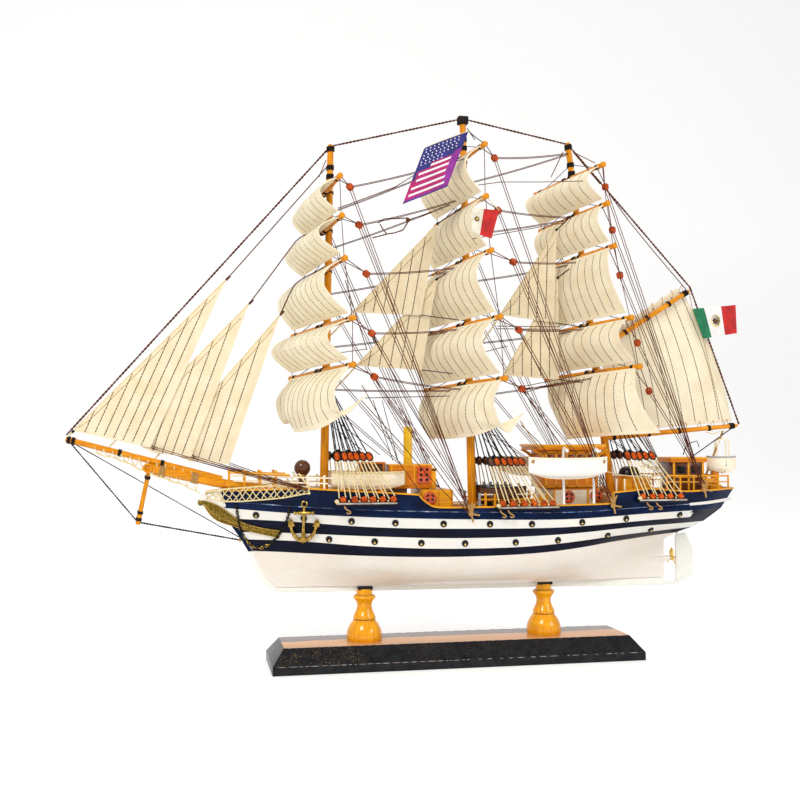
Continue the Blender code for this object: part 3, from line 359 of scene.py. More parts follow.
PEDESTAL = wood("varnish_pedestal", (0.72, 0.26, 0.002), (1.0, 0.46, 0.004), "z", 0.12, 0.6, 2.2, 14.0)
BRASS = metal("metal_brass", (0.16, 0.09, 0.014), (0.62, 0.40, 0.09), 0.3)
BRONZE = metal("metal_bronze", (0.085, 0.052, 0.008), (0.36, 0.24, 0.045), 0.38, 1.4)
BLACK_IRON = metal("metal_black", (0.006, 0.006, 0.006), (0.05, 0.045, 0.04), 0.45)
GILT = metal("metal_gilt", (0.55, 0.33, 0.05), (0.95, 0.68, 0.20), 0.25, 1.0)
THREAD_BROWN = thread("thread_brown", (0.050, 0.013, 0.007), (0.170, 0.050, 0.026))
THREAD_BLACK = thread("thread_black", (0.006, 0.005, 0.005), (0.030, 0.025, 0.024))
THREAD_CREAM = thread("thread_cream", (0.56, 0.42, 0.17), (0.95, 0.82, 0.50))
THREAD_TAN = thread("thread_tan", (0.30, 0.15, 0.04), (0.60, 0.36, 0.13))
THREAD_SEAM = thread("thread_seam", (0.020, 0.014, 0.010), (0.070, 0.052, 0.036))
BLOCK_RED = paint("paint_block_red", (0.68, 0.105, 0.001), (0.24, 0.018, 0.001), 0.3, 0.1, 2.5, gloss=0.12)
GREY = paint("paint_grey", (0.30, 0.31, 0.34), (0.42, 0.43, 0.45), 0.5, 0.1, 8.0)
# pale edge colour: a painted highlight along edges, partly worn paint
EDGE_HIGHLIGHT_AND_WEAR = paint("paint_edge_highlight_and_wear", (0.30, 0.23, 0.19), (0.62, 0.56, 0.52), 0.4, 0.2, 6.0)
BEAD_RED = paint("lacquer_bead", (0.52, 0.070, 0.001), (0.20, 0.014, 0.001), 0.15, 0.2, 3.0, gloss=0.15)
SAIL = cloth("cloth_sail", (0.94, 0.82, 0.59), (1.0, 0.92, 0.70), (0.90, 0.74, 0.48))
HEADSAIL = cloth("cloth_headsail", (0.88, 0.74, 0.49), (0.97, 0.84, 0.60), (0.84, 0.66, 0.38))


# Shapes


class Pile:
    """Points and faces, in millimetres, that become one piece with one or more materials."""

    def __init__(self):
        self.points, self.faces, self.paints = [], [], []

    def add(self, points, faces, paint_index=0):
        start = len(self.points)
        self.points.extend(tuple(point) for point in points)
        self.faces.extend(tuple(start + i for i in face) for face in faces)
        self.paints.extend([paint_index] * len(faces))

    def add_bmesh(self, bm, paint_index=0):
        """Adds a bmesh and frees it."""
        bm.verts.ensure_lookup_table()
        bm.verts.index_update()
        points = [vertex.co.copy() for vertex in bm.verts]
        self.add(points, [tuple(vertex.index for vertex in face.verts) for face in bm.faces], paint_index)
        bm.free()

    def piece(self, name, materials, slot, body="ship", sharp=40.0, stands_for=()):
        mesh = bpy.data.meshes.new(name)
        mesh.from_pydata([(x * MM, y * MM, z * MM) for x, y, z in self.points], [], self.faces)
        for made in materials:
            mesh.materials.append(made)
        mesh.polygons.foreach_set("material_index", self.paints)
        bm = bmesh.new()
        bm.from_mesh(mesh)
        bmesh.ops.recalc_face_normals(bm, faces=bm.faces)
        bm.to_mesh(mesh)
        bm.free()
        mesh.shade_smooth()
        mesh.set_sharp_from_angle(angle=math.radians(sharp))
        obj = bpy.data.objects.new(name, mesh)
        bpy.context.scene.collection.objects.link(obj)
        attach(obj, body)
        if stands_for:
            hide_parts(*stands_for)
        return obj


def skin(pile, points, wide, paint_index=0, loop=False):
    """Skin over rings of so many points, closed at both ends unless it runs on to its first ring."""
    count = len(points) // wide
    faces = []
    for i in range(count if loop else count - 1):
        a, b = i * wide, (i + 1) % count * wide
        faces += [(a + k, a + (k + 1) % wide, b + (k + 1) % wide, b + k) for k in range(wide)]
    if not loop:
        faces += [tuple(range(wide)), tuple((count - 1) * wide + k for k in range(wide))]
    pile.add(points, faces, paint_index)


def circle(centre, first, second, count):
    """Ring of points about a centre, from its two half axes."""
    centre, first, second = Vector(centre), Vector(first), Vector(second)
    turns = [2 * math.pi * k / count for k in range(count)]
    return [centre + first * math.cos(a) + second * math.sin(a) for a in turns]


def tube(pile, path, radius, sides=6, paint_index=0, loop=False):
    """Round tube along a path; the radius may be a list with one value for each point."""
    points = [Vector(point) for point in path]
    count = len(points)
    side = (points[1] - points[0]).normalized().orthogonal().normalized()
    rings = []
    for i, point in enumerate(points):
        before = points[(i - 1) % count] if loop or i else point
        after = points[(i + 1) % count] if loop or i < count - 1 else point
        along = (after - before).normalized()
        side = (side - along * side.dot(along)).normalized()
        wide = radius[i] if isinstance(radius, (list, tuple)) else radius
        rings += circle(point, side * wide, along.cross(side) * wide, sides)
    skin(pile, rings, sides, paint_index, loop)


def lathe(pile, start, end, profile, sides=24, paint_index=0):
    """Body of revolution from start to end; the profile holds the share of the way and the radius."""
    start, end = Vector(start), Vector(end)
    axis = (end - start).normalized()
    side = axis.orthogonal().normalized()
    other = axis.cross(side)
    points = [point for share, radius in profile
              for point in circle(start.lerp(end, share), side * radius, other * radius, sides)]
    skin(pile, points, sides, paint_index)


def tapered(radius, taper):
    """Profile for lathe from a taper: the share of the way and the share of the radius."""
    return [(share, radius * thick) for share, thick in taper]


def ball(pile, centre, radius, sides=12, paint_index=0):
    rings = max(sides // 2, 4)
    shares = [(1 - math.cos(math.pi * (i + 0.5) / rings)) / 2 for i in range(rings)]
    profile = [(share, radius * math.sqrt(max(1 - (2 * share - 1) ** 2, 0.0))) for share in shares]
    centre, up = Vector(centre), UP * radius
    lathe(pile, centre - up, centre + up, profile, sides, paint_index)


def block(pile, x, y, z, bevel=0.6, paint_index=0):
    """Box with rounded edges, from its two ends along each axis."""
    bm = bmesh.new()
    bmesh.ops.create_cube(bm, size=1.0)
    for vertex in bm.verts:
        vertex.co = [(low + high) / 2 + at * (high - low) for at, (low, high) in zip(vertex.co, (x, y, z))]
    if bevel:
        bmesh.ops.bevel(bm, geom=list(bm.edges), offset=bevel, segments=2, profile=0.5, affect="EDGES")
    pile.add_bmesh(bm, paint_index)


def plate(pile, outline, y0, y1, bevel=0.4, paint_index=0):
    """Flat plate in the ship's length from an outline of x, z, with bevelled edges."""
    bm = bmesh.new()
    face = bm.faces.new([bm.verts.new((x, y0, z)) for x, z in outline])
    for item in bmesh.ops.extrude_face_region(bm, geom=[face])["geom"]:
        if isinstance(item, bmesh.types.BMVert):
            item.co.y = y1
    bmesh.ops.recalc_face_normals(bm, faces=bm.faces)
    rim = [e for e in bm.edges if abs(e.verts[0].co.y - e.verts[1].co.y) < 1e-6]
    bmesh.ops.bevel(bm, geom=rim, offset=bevel, segments=2, profile=0.5, affect="EDGES")
    pile.add_bmesh(bm, paint_index)


def coil(pile, centre, axis, radius, wire, turns, paint_index=0, pitch=None):
    """Turns of thread wound round an axis."""
    axis = Vector(axis).normalized()
    side = axis.orthogonal().normalized()
    other = axis.cross(side)
    pitch = pitch or wire * 2.0
    steps = int(turns * 14)
    start = Vector(centre) - axis * (turns * pitch / 2)
    path = []
    for i in range(steps + 1):
        angle = 2 * math.pi * turns * i / steps
        path.append(start + axis * (pitch * turns * i / steps) + side * radius * math.cos(angle)
                    + other * radius * math.sin(angle))
    tube(pile, path, wire, 5, paint_index)


def sagging(start, end, sag=0.0, points=8):
    """Points of a line that hangs a little between its ends."""
    start, end = Vector(start), Vector(end)
    path = []
    for i in range(points + 1):
        t = i / points
        path.append(start.lerp(end, t) - Vector((0.0, 0.0, 4 * sag * t * (1 - t))))
    return path


def rope(pile, start, end, radius, paint_index=0, sides=6, sag=0.0, points=2):
    """Single line between two places."""
    tube(pile, sagging(start, end, sag, points), radius, sides, paint_index)


def twisted(pile, start, end, radius, pitch=5.0, paint_index=0):
    """A taut rope of two strands laid round each other."""
    start, end = Vector(start), Vector(end)
    along = (end - start).normalized()
    side = along.orthogonal().normalized()
    other = along.cross(side)
    length = (end - start).length
    steps = max(int(length / pitch * 8), 8)
    for strand in (0.0, math.pi):
        points = []
        for i in range(steps + 1):
            angle = strand + 2 * math.pi * length * i / steps / pitch
            lay = side * math.cos(angle) + other * math.sin(angle)
            points.append(start.lerp(end, i / steps) + lay * radius * 0.8)
        tube(pile, points, radius * 0.85, 4, paint_index)


def reaches(points):
    """Distance along a path to each of its points."""
    reach = [0.0]
    for before, after in zip(points, points[1:]):
        reach.append(reach[-1] + (after - before).length)
    return reach


def leg_at(reach, distance):
    """Number of the leg that a distance falls on, and the share of the way along it."""
    leg = min(max(int(np.searchsorted(reach, distance)) - 1, 0), len(reach) - 2)
    return leg, (distance - reach[leg]) / max(reach[leg + 1] - reach[leg], 1e-6)


def smooth_value(table, at, column):
    """Value of a column at a place in a table whose first column is the place, by a cubic."""
    places = [row[0] for row in table]
    values = [row[column] for row in table]
    i, t = leg_at(places, min(max(at, places[0]), places[-1]))
    slopes = np.gradient(values, places)
    span = places[i + 1] - places[i]
    return ((2 * t**3 - 3 * t**2 + 1) * values[i] + (t**3 - 2 * t**2 + t) * span * slopes[i]
            + (3 * t**2 - 2 * t**3) * values[i + 1] + (t**3 - t**2) * span * slopes[i + 1])


def line_value(table, at, column):
    return float(np.interp(at, [row[0] for row in table], [row[column] for row in table]))


def on_plane(place, y=0.0):
    """Point from its x and z on a plane of the ship's length."""
    return Vector((place[0], y, place[1]))


# Hull

# WALE_HIGHLIGHT_AND_WEAR holds the painted highlight, broken like rubbed paint, along the top of the wale
BELOW, BAND, STRIPES, TOPSIDE, CAPPING, BULWARK, DECK, WALE_HIGHLIGHT_AND_WEAR = range(8)   # places in HULL_PAINTS
HULL_PAINTS = [BOTTOM, BAND_NAVY, STRIPE, NAVY, RAIL_WOOD, CREAM, DECK_WOOD, NAVY_EDGE]
# rows of the skin between levels: first level, last level, steps, relief, paint
SKIN_BANDS = ((0, 3, 14, 0.0, BELOW), (3, 4, 4, 0.0, BAND), (4, 5, 3, STRIPE_RELIEF, STRIPES),
              (5, 6, 4, 0.0, BAND), (6, 7, 3, STRIPE_RELIEF, STRIPES))
STEM_TOP = STEM_LINE[-1][1]


def rail_value(x, column):
    """Rail or deck height, eased where the rail steps."""
    i, t = leg_at([row[0] for row in RAIL_LINE], x)
    t = min(max(t, 0.0), 1.0)
    if RAIL_LINE[i + 1][1] - RAIL_LINE[i][1] > 5.0:
        t = t * t * (3 - 2 * t)
    return RAIL_LINE[i][column] * (1 - t) + RAIL_LINE[i + 1][column] * t


def hull_x(s, z):
    """x at a height, s of the way from the stem to the stern."""
    return line_value(STEM_LINE, z, 1) * (1 - s) + line_value(STERN_LINE, z, 1) * s


def hull_section(s):
    """Points (x, half-breadth, z) of a station at the floor, levels and rail, and the height of its deck."""
    rail_x = hull_x(s, RAIL_Z)
    heights = [FLOOR_Z] + [smooth_value(HULL_LEVELS, s, i) for i in range(1, 8)] + [rail_value(rail_x, 1)]
    breadths = [smooth_value(HULL_BREADTHS, s, i) for i in range(1, 10)]
    return [(hull_x(s, z), half, z) for z, half in zip(heights, breadths)], rail_value(rail_x, 2)


def stations():
    """Places 0..1 along the hull, closer at its ends and where the rail steps."""
    even = [0.5 - 0.5 * math.cos(math.pi * i / HULL_STATIONS) for i in range(HULL_STATIONS + 1)]
    fore, aft = hull_x(0.0, RAIL_Z), hull_x(1.0, RAIL_Z)
    return sorted(even + [(x - fore) / (aft - fore) for x in RAIL_BREAKS])


SIDE_PLACES = [i / SIDE_STATIONS for i in range(SIDE_STATIONS + 1)]
SIDE_SECTIONS = [tuple(zip(*hull_section(s)[0])) for s in SIDE_PLACES]   # x, half-breadths and heights


def side_point(x, z, side, out=0.0):
    """Point on the hull's side, at y = side times the half-breadth, and the outward direction there."""
    places = [np.interp(z, heights, xs) for xs, _, heights in SIDE_SECTIONS]

    def halves(at_z):
        return [np.interp(at_z, heights, breadths) for _, breadths, heights in SIDE_SECTIONS]
    half, ahead, behind = np.interp((x, x + SIDE_STEP, x - SIDE_STEP), places, halves(z))
    above, under = (np.interp(x, places, halves(z + step)) for step in (SIDE_STEP, -SIDE_STEP))
    normal = Vector(((behind - ahead) / 4, side, (under - above) / 4)).normalized()
    return Vector((x, side * half, z)) + normal * out, normal


def half_breadth(x, z):
    return side_point(x, z, 1.0)[0].y


def section_curve(rows):
    """Smooth half-breadth and height as functions of the level's number."""
    chord = [0.0]
    for before, after in zip(rows, rows[1:]):
        chord.append(chord[-1] + math.hypot(after[1] - before[1], after[2] - before[2]))
    tables = [[(c, row[k]) for c, row in zip(chord, rows)] for k in range(3)]

    def at(level):
        i = min(int(level), len(rows) - 2)
        c = chord[i] + (chord[i + 1] - chord[i]) * (level - i)
        return line_value(tables[0], c, 1), smooth_value(tables[1], c, 1), smooth_value(tables[2], c, 1)
    return at


def station_outline(s):
    """Points of a station from the keel up over the rail to the deck's middle, and the paint up to each."""
    rows, deck = hull_section(s)
    at = section_curve(rows)
    fade = min(1.0, 12 * s, 12 * (1 - s))
    outline = [((rows[0][0], 0.0, FLOOR_Z), BELOW)]
    for first, last, steps, relief, band in SKIN_BANDS:
        for k in range(steps + 1):
            x, half, z = at(first + (last - first) * k / steps)
            outline.append(((x, half + relief * fade, z), band))
    (low_x, low_half, low_z), (top_x, top_half, top_z) = rows[7], rows[8]
    wale_z = min(low_z + WALE_HEIGHT, top_z - 2.0)
    # the top of the wale carries a painted highlight, broken in places like rubbed paint
    sides = [(low_z + 0.1, WALE_RELIEF, TOPSIDE), (wale_z - 0.8, WALE_RELIEF, TOPSIDE),
             (wale_z - 0.2, WALE_RELIEF * 0.6, WALE_HIGHLIGHT_AND_WEAR), (wale_z, 0.0, WALE_HIGHLIGHT_AND_WEAR)]
    sides += [(wale_z + (top_z - 1.3 - wale_z) * share, 0.0, TOPSIDE) for share in (0.35, 0.7, 1.0)]
    for z, relief, band in sides:
        share = (z - low_z) / (top_z - low_z)
        half = low_half + (top_half - low_half) * share + relief * fade
        outline.append(((low_x + (top_x - low_x) * share, half, z), band))
    inner = max(top_half - RAIL_WIDTH, top_half * 0.4)
    deck_z = top_z - 0.2 if s < 0.02 or s > 0.985 else deck
    rim = [(top_half + 0.5, top_z - 1.3, CAPPING), (top_half + 0.6, top_z - 0.5, CAPPING),
           (top_half + 0.2, top_z, CAPPING), (inner, top_z, CAPPING), (inner - 0.3, top_z - 0.5, CAPPING),
           (inner - 0.3, (top_z + deck_z) / 2, BULWARK), (inner - 0.2, deck_z, DECK)]
    rim += [((inner - 0.2) * share, deck_z + 0.35 * (1 - share), DECK) for share in (0.66, 0.33, 0.0)]
    return outline + [((top_x, half, z), band) for half, z, band in rim]


def make_hull():
    pile = Pile()
    outlines = [station_outline(s) for s in stations()]
    lines = [[point for point, _ in outline] for outline in outlines]
    bands = [band for _, band in outlines[0]]
    count = len(bands)
    for side in SIDES:
        start = len(pile.points)
        pile.points.extend((x, side * y, z) for line in lines for x, y, z in line)
        for i, line in enumerate(lines[:-1]):
            for k, (x, _, z) in enumerate(line[:-1]):
                a, b = start + i * count + k, start + (i + 1) * count + k
                pile.faces.append((a, b, b + 1, a + 1))
                ended = bands[k] == bands[k + 1] == STRIPES and x > STRIPE_END_X and z > STRIPE_END_Z
                pile.paints.append(BAND if ended else bands[k + 1])
    for line in (lines[0], lines[-1]):
        for (x, y, z), (x2, y2, z2), band in zip(line, line[1:], bands[1:]):
            pile.add([(x, -y, z), (x, y, z), (x2, y2, z2), (x2, -y2, z2)], [(0, 1, 2, 3)], band)
    tip, end, radius = SHAFT_CONE
    cone = ((0.0, 0.3), (0.2, 1.2), (0.5, 2.2), (0.9, radius), (0.97, radius), (1.0, radius * 0.75))
    lathe(pile, (tip - 4.0, 0.0, SHAFT_Z - 2.5), (end, 0.0, SHAFT_Z), cone, 28, BELOW)
    obj = pile.piece("hull_skin", HULL_PAINTS, "hull_paint", sharp=32.0, stands_for=("hull",))
    merge = obj.modifiers.new("weld", "WELD")
    merge.merge_threshold = 0.00002


def make_portholes():
    pile = Pile()
    side_x = [xs[6] for xs, _, _ in SIDE_SECTIONS]
    for xs, level in ((PORT_X_HIGH, 6), (PORT_X_LOW, 4)):
        for x in xs:
            rows, _ = hull_section(float(np.interp(x, side_x, SIDE_PLACES)))
            z = (rows[level][2] + rows[level + 1][2]) / 2
            for side in SIDES:
                centre, normal = side_point(x, z, side, STRIPE_RELIEF)
                lathe(pile, centre - normal * 0.8, centre + normal * 0.9,
                      ((0.0, PORT_RADIUS), (0.75, PORT_RADIUS), (1.0, PORT_RADIUS * 0.86)), 20, 0)
                spot = centre - UP
                lathe(pile, spot, spot + normal * 1.2, ((0.0, 0.85), (0.8, 0.85), (1.0, 0.5)), 12, 1)
    pile.piece("portholes", [BLACK, GILT], "hull_paint")


def edge_height(table, x, share):
    """Height between the lower and the upper edge of a table of x, lower edge, upper edge."""
    low, high = smooth_value(table, x, 1), smooth_value(table, x, 2)
    return low + (high - low) * share


def bow_half(x, z):
    """Half-breadth of the hull, or of the board where the hull ends ahead."""
    return max(half_breadth(max(x, STEM_TOP), z), BOARD_HALF)


BAND_STEPS = 30
SCROLL_RIBS = (-216.0, 58.0, 26)          # first x, length and number of the scroll's leaves
SCROLL_LINES = ((0.04, 32), (0.34, 18), (0.96, 32))   # height on the plate and number of points of its beads
SCROLL_EYE = (-213.9, 133.2, 1.9)
BEAK_FIGURE = ((-226.4, 0.0, 141.6), (-219.6, 0.0, 142.6))
BEAK_CAP = (
    (-225.2, 143.6), (-223.8, 147.6), (-220.3, 150.6), (-213.5, 151.8), (-205.9, 150.4), (-198.0, 147.4),
    (-199.0, 138.0), (-206.0, 137.0), (-214.0, 140.6),
)


def band_on_side(pile, table, side, thickness):
    """Raised strip along the hull's side; the table holds x and its lower and upper edge."""
    section = ((0.0, -0.6), (0.0, thickness * 0.6), (0.16, thickness), (0.5, thickness * 1.15),
               (0.84, thickness), (1.0, thickness * 0.6), (1.0, -0.6))
    points = []
    for i in range(BAND_STEPS + 1):
        x = table[0][0] + (table[-1][0] - table[0][0]) * i / BAND_STEPS
        for share, out in section:
            z = edge_height(table, x, share)
            points.append((x, side * (bow_half(x, z) + out), z))
    skin(pile, points, len(section))


def make_bow_and_stern_trim():
    gilt, band = Pile(), Pile()
    for side in SIDES:
        band_on_side(gilt, SCROLL, side, 1.0)
        start, length, count = SCROLL_RIBS
        for k in range(count):
            x = start + length * k / (count - 1)
            path = []
            for share in (0.14, 0.5, 0.86):
                at, z = x + 2.2 * (share - 0.5), edge_height(SCROLL, x, share)
                path.append((at, side * (bow_half(at, z) + 1.25), z))
            tube(gilt, path, 0.28, 5)
        for share, count in SCROLL_LINES:
            path = []
            for x in (-221.0 + 63.4 * k / 31 for k in range(count)):
                z = edge_height(SCROLL, x, share)
                path.append((x, side * (bow_half(x, z) + 1.1), z))
            tube(gilt, path, 0.5, 6, 1)
        x, z, radius = SCROLL_EYE
        eye = circle((x, side * (BOARD_HALF + 1.5), z), (radius, 0.0, 0.0), UP * radius, 16)
        tube(gilt, eye, 0.5, 6, 1, loop=True)
        ball(gilt, (x, side * (BOARD_HALF + 0.9), z), 1.1, 10, 2)
        band_on_side(band, STERN_BAND, side, 0.9)
    lathe(gilt, *BEAK_FIGURE, ((0.0, 1.2), (0.12, 2.6), (0.4, 3.1), (0.75, 2.7), (1.0, 1.6)), 18, 0)
    gilt.piece("bow_scrolls", [BRONZE, BRASS, BLACK], "brass")
    beak = Pile()
    plate(beak, BEAK_CAP, -2.7, 2.7, 1.6)
    beak.piece("beak_cap", [STRIPE], "board_white")
    band.piece("stern_band", [STRIPE], "hull_paint")


def make_keel_board():
    pile = Pile()
    rows, _ = hull_section(0.0)
    inner = [(x - 0.3, z) for x, _, z in rows[1:8]]
    keel = [(199.4, FLOOR_Z - 0.3), (-159.0, FLOOR_Z - 0.3)]
    outline = [BEAK_TIP, *BOARD_EDGE, *keel, *inner, (-212.0, 150.5)]
    fine = []
    for i, (x, z) in enumerate(outline):
        fine.append((x, z))
        if 1 <= i <= 8:
            ahead = outline[i + 1]
            fine.append(((x + ahead[0]) / 2, (z + ahead[1]) / 2))
    plate(pile, fine, -BOARD_HALF, BOARD_HALF, 0.5)
    cutwater = sorted((z, x) for x, z in BOARD_EDGE[:6])
    edge = [(line_value(cutwater, z, 1) - 0.12, z) for z in (99.4, 104.0, 110.0, 116.0, 122.0, 129.0)]
    back = [(line_value(STEM_LINE, z, 1) - 0.1, z) for z in (129.0, 116.0, 99.4)]
    plate(pile, edge + back, -BOARD_HALF - 0.12, BOARD_HALF + 0.12, 0.5, 1)
    pile.piece("stem_and_keel", [BOARD, NAVY], "board_white", stands_for=("keel_board",))


def make_rudder():
    pile = Pile()
    plate(pile, RUDDER_OUTLINE, -BOARD_HALF, BOARD_HALF, 0.6)
    x, radius, top = RUDDER_STOCK
    tube(pile, [(x, 0.0, 100.0), (x, 0.0, top)], radius, 12)
    pile.piece("rudder_board", [BOARD], "board_white", body="rudder_blade", stands_for=("rudder",))


def make_propeller():
    pile = Pile()
    fore, aft = PROP_X
    lathe(pile, (fore, 0.0, SHAFT_Z), (aft + 1.4, 0.0, SHAFT_Z),
          ((0.0, 2.0), (0.08, 2.3), (0.5, 2.35), (0.75, 1.9), (0.92, 1.1), (1.0, 0.4)), 24)
    middle = Vector(((fore + aft) / 2 - 0.3, 0.0, SHAFT_Z))
    for k in range(PROP_BLADES):
        turn = math.radians(90.0 + 360.0 * k / PROP_BLADES)
        out = Vector((0.0, math.cos(turn), math.sin(turn)))
        across = Vector((0.0, -math.sin(turn), math.cos(turn)))
        points = []
        for i in range(BLADE_STAGES + 1):
            share = 0.14 + 0.86 * i / BLADE_STAGES
            chord_half = 0.62 * (1.2 + 2.6 * math.sin(math.pi * min(share, 0.98) ** 1.15))
            pitch = math.radians(54.0 - 31.0 * share)
            chord = across * math.cos(pitch) + Vector((math.sin(pitch), 0.0, 0.0))
            face = chord.cross(out).normalized()
            points += circle(middle + out * PROP_RADIUS * share, chord * chord_half, face * 0.5, BLADE_SIDES)
        skin(pile, points, BLADE_SIDES)
    pile.piece("propeller_casting", [GILT], "brass", body="screw", stands_for=("propeller",))


# Stand


def plinth_paint():
    """Black paint, with gilt showing through where it is rubbed on the front bevel."""
    made = new_material("paint_plinth", 0.30, coat=0.10, gloss=0.12)
    tones = ((0.35, (0.006, 0.006, 0.008)), (0.7, (0.020, 0.020, 0.022)))
    base = ramp(made, noise(made, 7.0, 4.0, 0.65), tones)
    patches = ramp(made, noise(made, 24.0, 4.0, 0.7), ((0.44, 0.0), (0.60, 1.0)))
    rub = combined(made, "MULTIPLY", spots(made, 1.6, 0.34), patches)
    texture = made.node_tree.nodes.new("ShaderNodeSeparateXYZ")
    made.node_tree.links.new(place_output(made), texture.inputs["Vector"])
    fore = ramp(made, combined(made, "MULTIPLY", texture.outputs["X"], -0.0035), ((0.0, 0.25), (0.5, 1.0)))
    bevel = ramp(made, combined(made, "MULTIPLY", texture.outputs["Z"], 0.05), ((0.34, 0.0), (0.37, 1.0)))
    wear_and_highlight = combined(made, "MULTIPLY", combined(made, "MULTIPLY", rub, fore), bevel)
    colour = mixed(made, wear_and_highlight, base, (0.34, 0.22, 0.06))
    return paint_with(made, colour, combined(made, "ADD", wear_and_highlight, noise(made, 1.2, 3.0)), 0.10)


def plinth_wood():
    """Varnished top with a painted shadow, a grey-brown band with a wavy front edge, along its back edge."""
    made = wood("varnish_plinth_top", (0.54, 0.23, 0.065), (0.80, 0.41, 0.145), "x", 0.28, 0.25, 0.8, 40.0)
    links = made.node_tree.links
    wooden = shader_of(made).inputs["Base Color"].links[0].from_socket
    texture = made.node_tree.nodes.new("ShaderNodeSeparateXYZ")
    links.new(place_output(made), texture.inputs["Vector"])
    # painted shadow: a grey-brown band with a wavy edge along the back of the top, where the hull's shadow
    # falls
    sway = combined(made, "SUBTRACT", noise(made, 60.0, 2.0, 0.5, (1.0, 0.0, 0.0)), 0.5)
    wavy = combined(made, "MULTIPLY", sway, 16.0)
    edge = combined(made, "MULTIPLY", combined(made, "ADD", texture.outputs["Y"], wavy), 0.05)
    stain_and_painted_shadow = ramp(made, edge, ((0.18, 0.0), (0.24, 1.0)))
    links.new(mixed(made, stain_and_painted_shadow, wooden, (0.155, 0.115, 0.10)), shader_of(made).inputs["Base Color"])
    return made


def make_plinth():
    pile, bm = Pile(), bmesh.new()
    rings = []
    for (length, width), z in ((PLINTH_BASE, 0.0), (PLINTH_BASE, PLINTH_BAND), (PLINTH_TOP, PLINTH_HEIGHT)):
        rings.append([bm.verts.new((sx * length / 2, sy * width / 2, z))
                      for sx, sy in ((-1, -1), (1, -1), (1, 1), (-1, 1))])
    for low, high in zip(rings, rings[1:]):
        for k in range(4):
            bm.faces.new([low[k], low[(k + 1) % 4], high[(k + 1) % 4], high[k]])
    bm.faces.new(rings[0][::-1])
    bm.faces.new(rings[-1])
    bmesh.ops.bevel(bm, geom=list(bm.edges), offset=0.55, segments=3, profile=0.6, affect="EDGES")
    tops = [min(vertex.co.z for vertex in face.verts) > PLINTH_HEIGHT - 0.05 for face in bm.faces]
    pile.add_bmesh(bm)
    pile.paints = [1 if top else 0 for top in tops]
    pile.piece("plinth_board", [plinth_paint(), plinth_wood()], "plinth_black", stands_for=("plinth",))
    # broken pale lines along the top edge and the bevel's lower edge: painted highlights on the rounded
    # edges, partly rubbed paint
    wear_and_highlight, chance = Pile(), random.Random(7)
    edges = ((PLINTH_TOP, PLINTH_HEIGHT - 0.12, 0.30), (PLINTH_BASE, PLINTH_BAND, 0.26))
    for (length, width), z, radius in edges:
        for side in SIDES:
            x, edge = -length / 2 + 3.0, side * (width / 2 - 0.16)
            while x < length / 2 - 12.0:
                run = chance.uniform(1.5, 9.0)
                middle = (x + run / 2, edge, z + chance.uniform(-0.05, 0.05))
                tube(wear_and_highlight, [(x, edge, z), middle, (x + run, edge, z)], [radius * 0.3, radius, radius * 0.3])
                x += run + chance.uniform(0.4, 2.0) * (1.0 + 3.0 * (x > 0))
    wear_and_highlight.piece("plinth_edge_highlights_and_wear", [EDGE_HIGHLIGHT_AND_WEAR], "plinth_black")


def make_pedestals():
    top = PEDESTAL_PROFILE[-1][1]
    profile = [(z / top, radius) for radius, z in PEDESTAL_PROFILE]
    for name, x in PEDESTAL_X.items():
        pile = Pile()
        lathe(pile, (x, 0.0, PLINTH_HEIGHT), (x, 0.0, PLINTH_HEIGHT + top), profile, 56, 0)
        for side in SIDES:
            block(pile, (x - 6.6, x + 6.6), sorted((side * 1.75, side * 6.4)),
                  (PLINTH_HEIGHT + top - 0.4, PLINTH_HEIGHT + PAD_TOP), 0.5, 1)
        for z, radius in ((18.1, 9.45), (39.1, 8.4)):
            ring = circle((x, 0.0, PLINTH_HEIGHT + z), (radius, 0.0, 0.0), (0.0, radius, 0.0), 48)
            tube(pile, ring, 0.28, 5, 2, loop=True)
        pile.piece(name + "_turned", [PEDESTAL, BLACK, BROWN_WOOD], "pedestal_varnish", stands_for=(name,))


# Spars: fore and aft end, or top and foot, each as x, z; and the radius

JIB_BOOM = ((-335.0, 196.0), (-206.0, 162.0), 2.6)
LOWER_BOWSPRIT = ((-271.0, 172.2), (-203.0, 157.6), 4.4)
STRIKER = ((-267.0, 170.0), (-276.0, 124.0), 2.0)
MARTINGALE_FOOT = (-190.4, 109.4)
BOOM_TIES = (-291.0, -256.0)            # black lashings on the jib boom
STAY_RADIUS = 0.6
MASTS = {  # foot, head, radius at the foot and at the head
    "fore": ((-118.1, 149.9), (-113.0, 450.0), 3.8, 2.8),
    "main": ((16.2, 133.4), (8.1, 482.0), 3.9, 2.8),
    "mizzen": ((149.0, 147.2), (109.6, 464.0), 3.7, 2.7),
}
NEXT_MAST = {"fore": "main", "main": "mizzen"}
YARD_RADIUS = (2.6, 1.9)                # at the middle and at the ends
CAP_HEIGHT = 7.0
YARD_TILT = 3.0                         # degrees, down to starboard
YARD_SINK = 1.2                         # of a yard into its mast
KNOB_RADIUS = 2.7
YARDS = {  # height, half length, brace angle in degrees, from the top
    "fore": ((414.0, 52.0, 7.0), (380.0, 54.0, 9.0), (344.0, 56.0, 12.0), (294.0, 58.0, 20.0),
             (255.0, 59.0, 20.5)),
    "main": ((448.0, 52.0, 11.0), (402.0, 54.0, 10.0), (355.0, 56.0, 13.0), (298.0, 58.0, 19.5),
             (245.0, 59.0, 22.5)),
    "mizzen": ((436.0, 52.0, 16.0), (401.0, 54.0, 14.0), (363.0, 56.0, 14.0), (300.0, 58.0, 22.0),
               (257.0, 58.0, 25.0)),
}
GAFF = ((133.5, 276.5), (229.0, 336.5), 2.4)
BOOM = ((144.0, 197.3), (277.0, 209.2), 2.4)
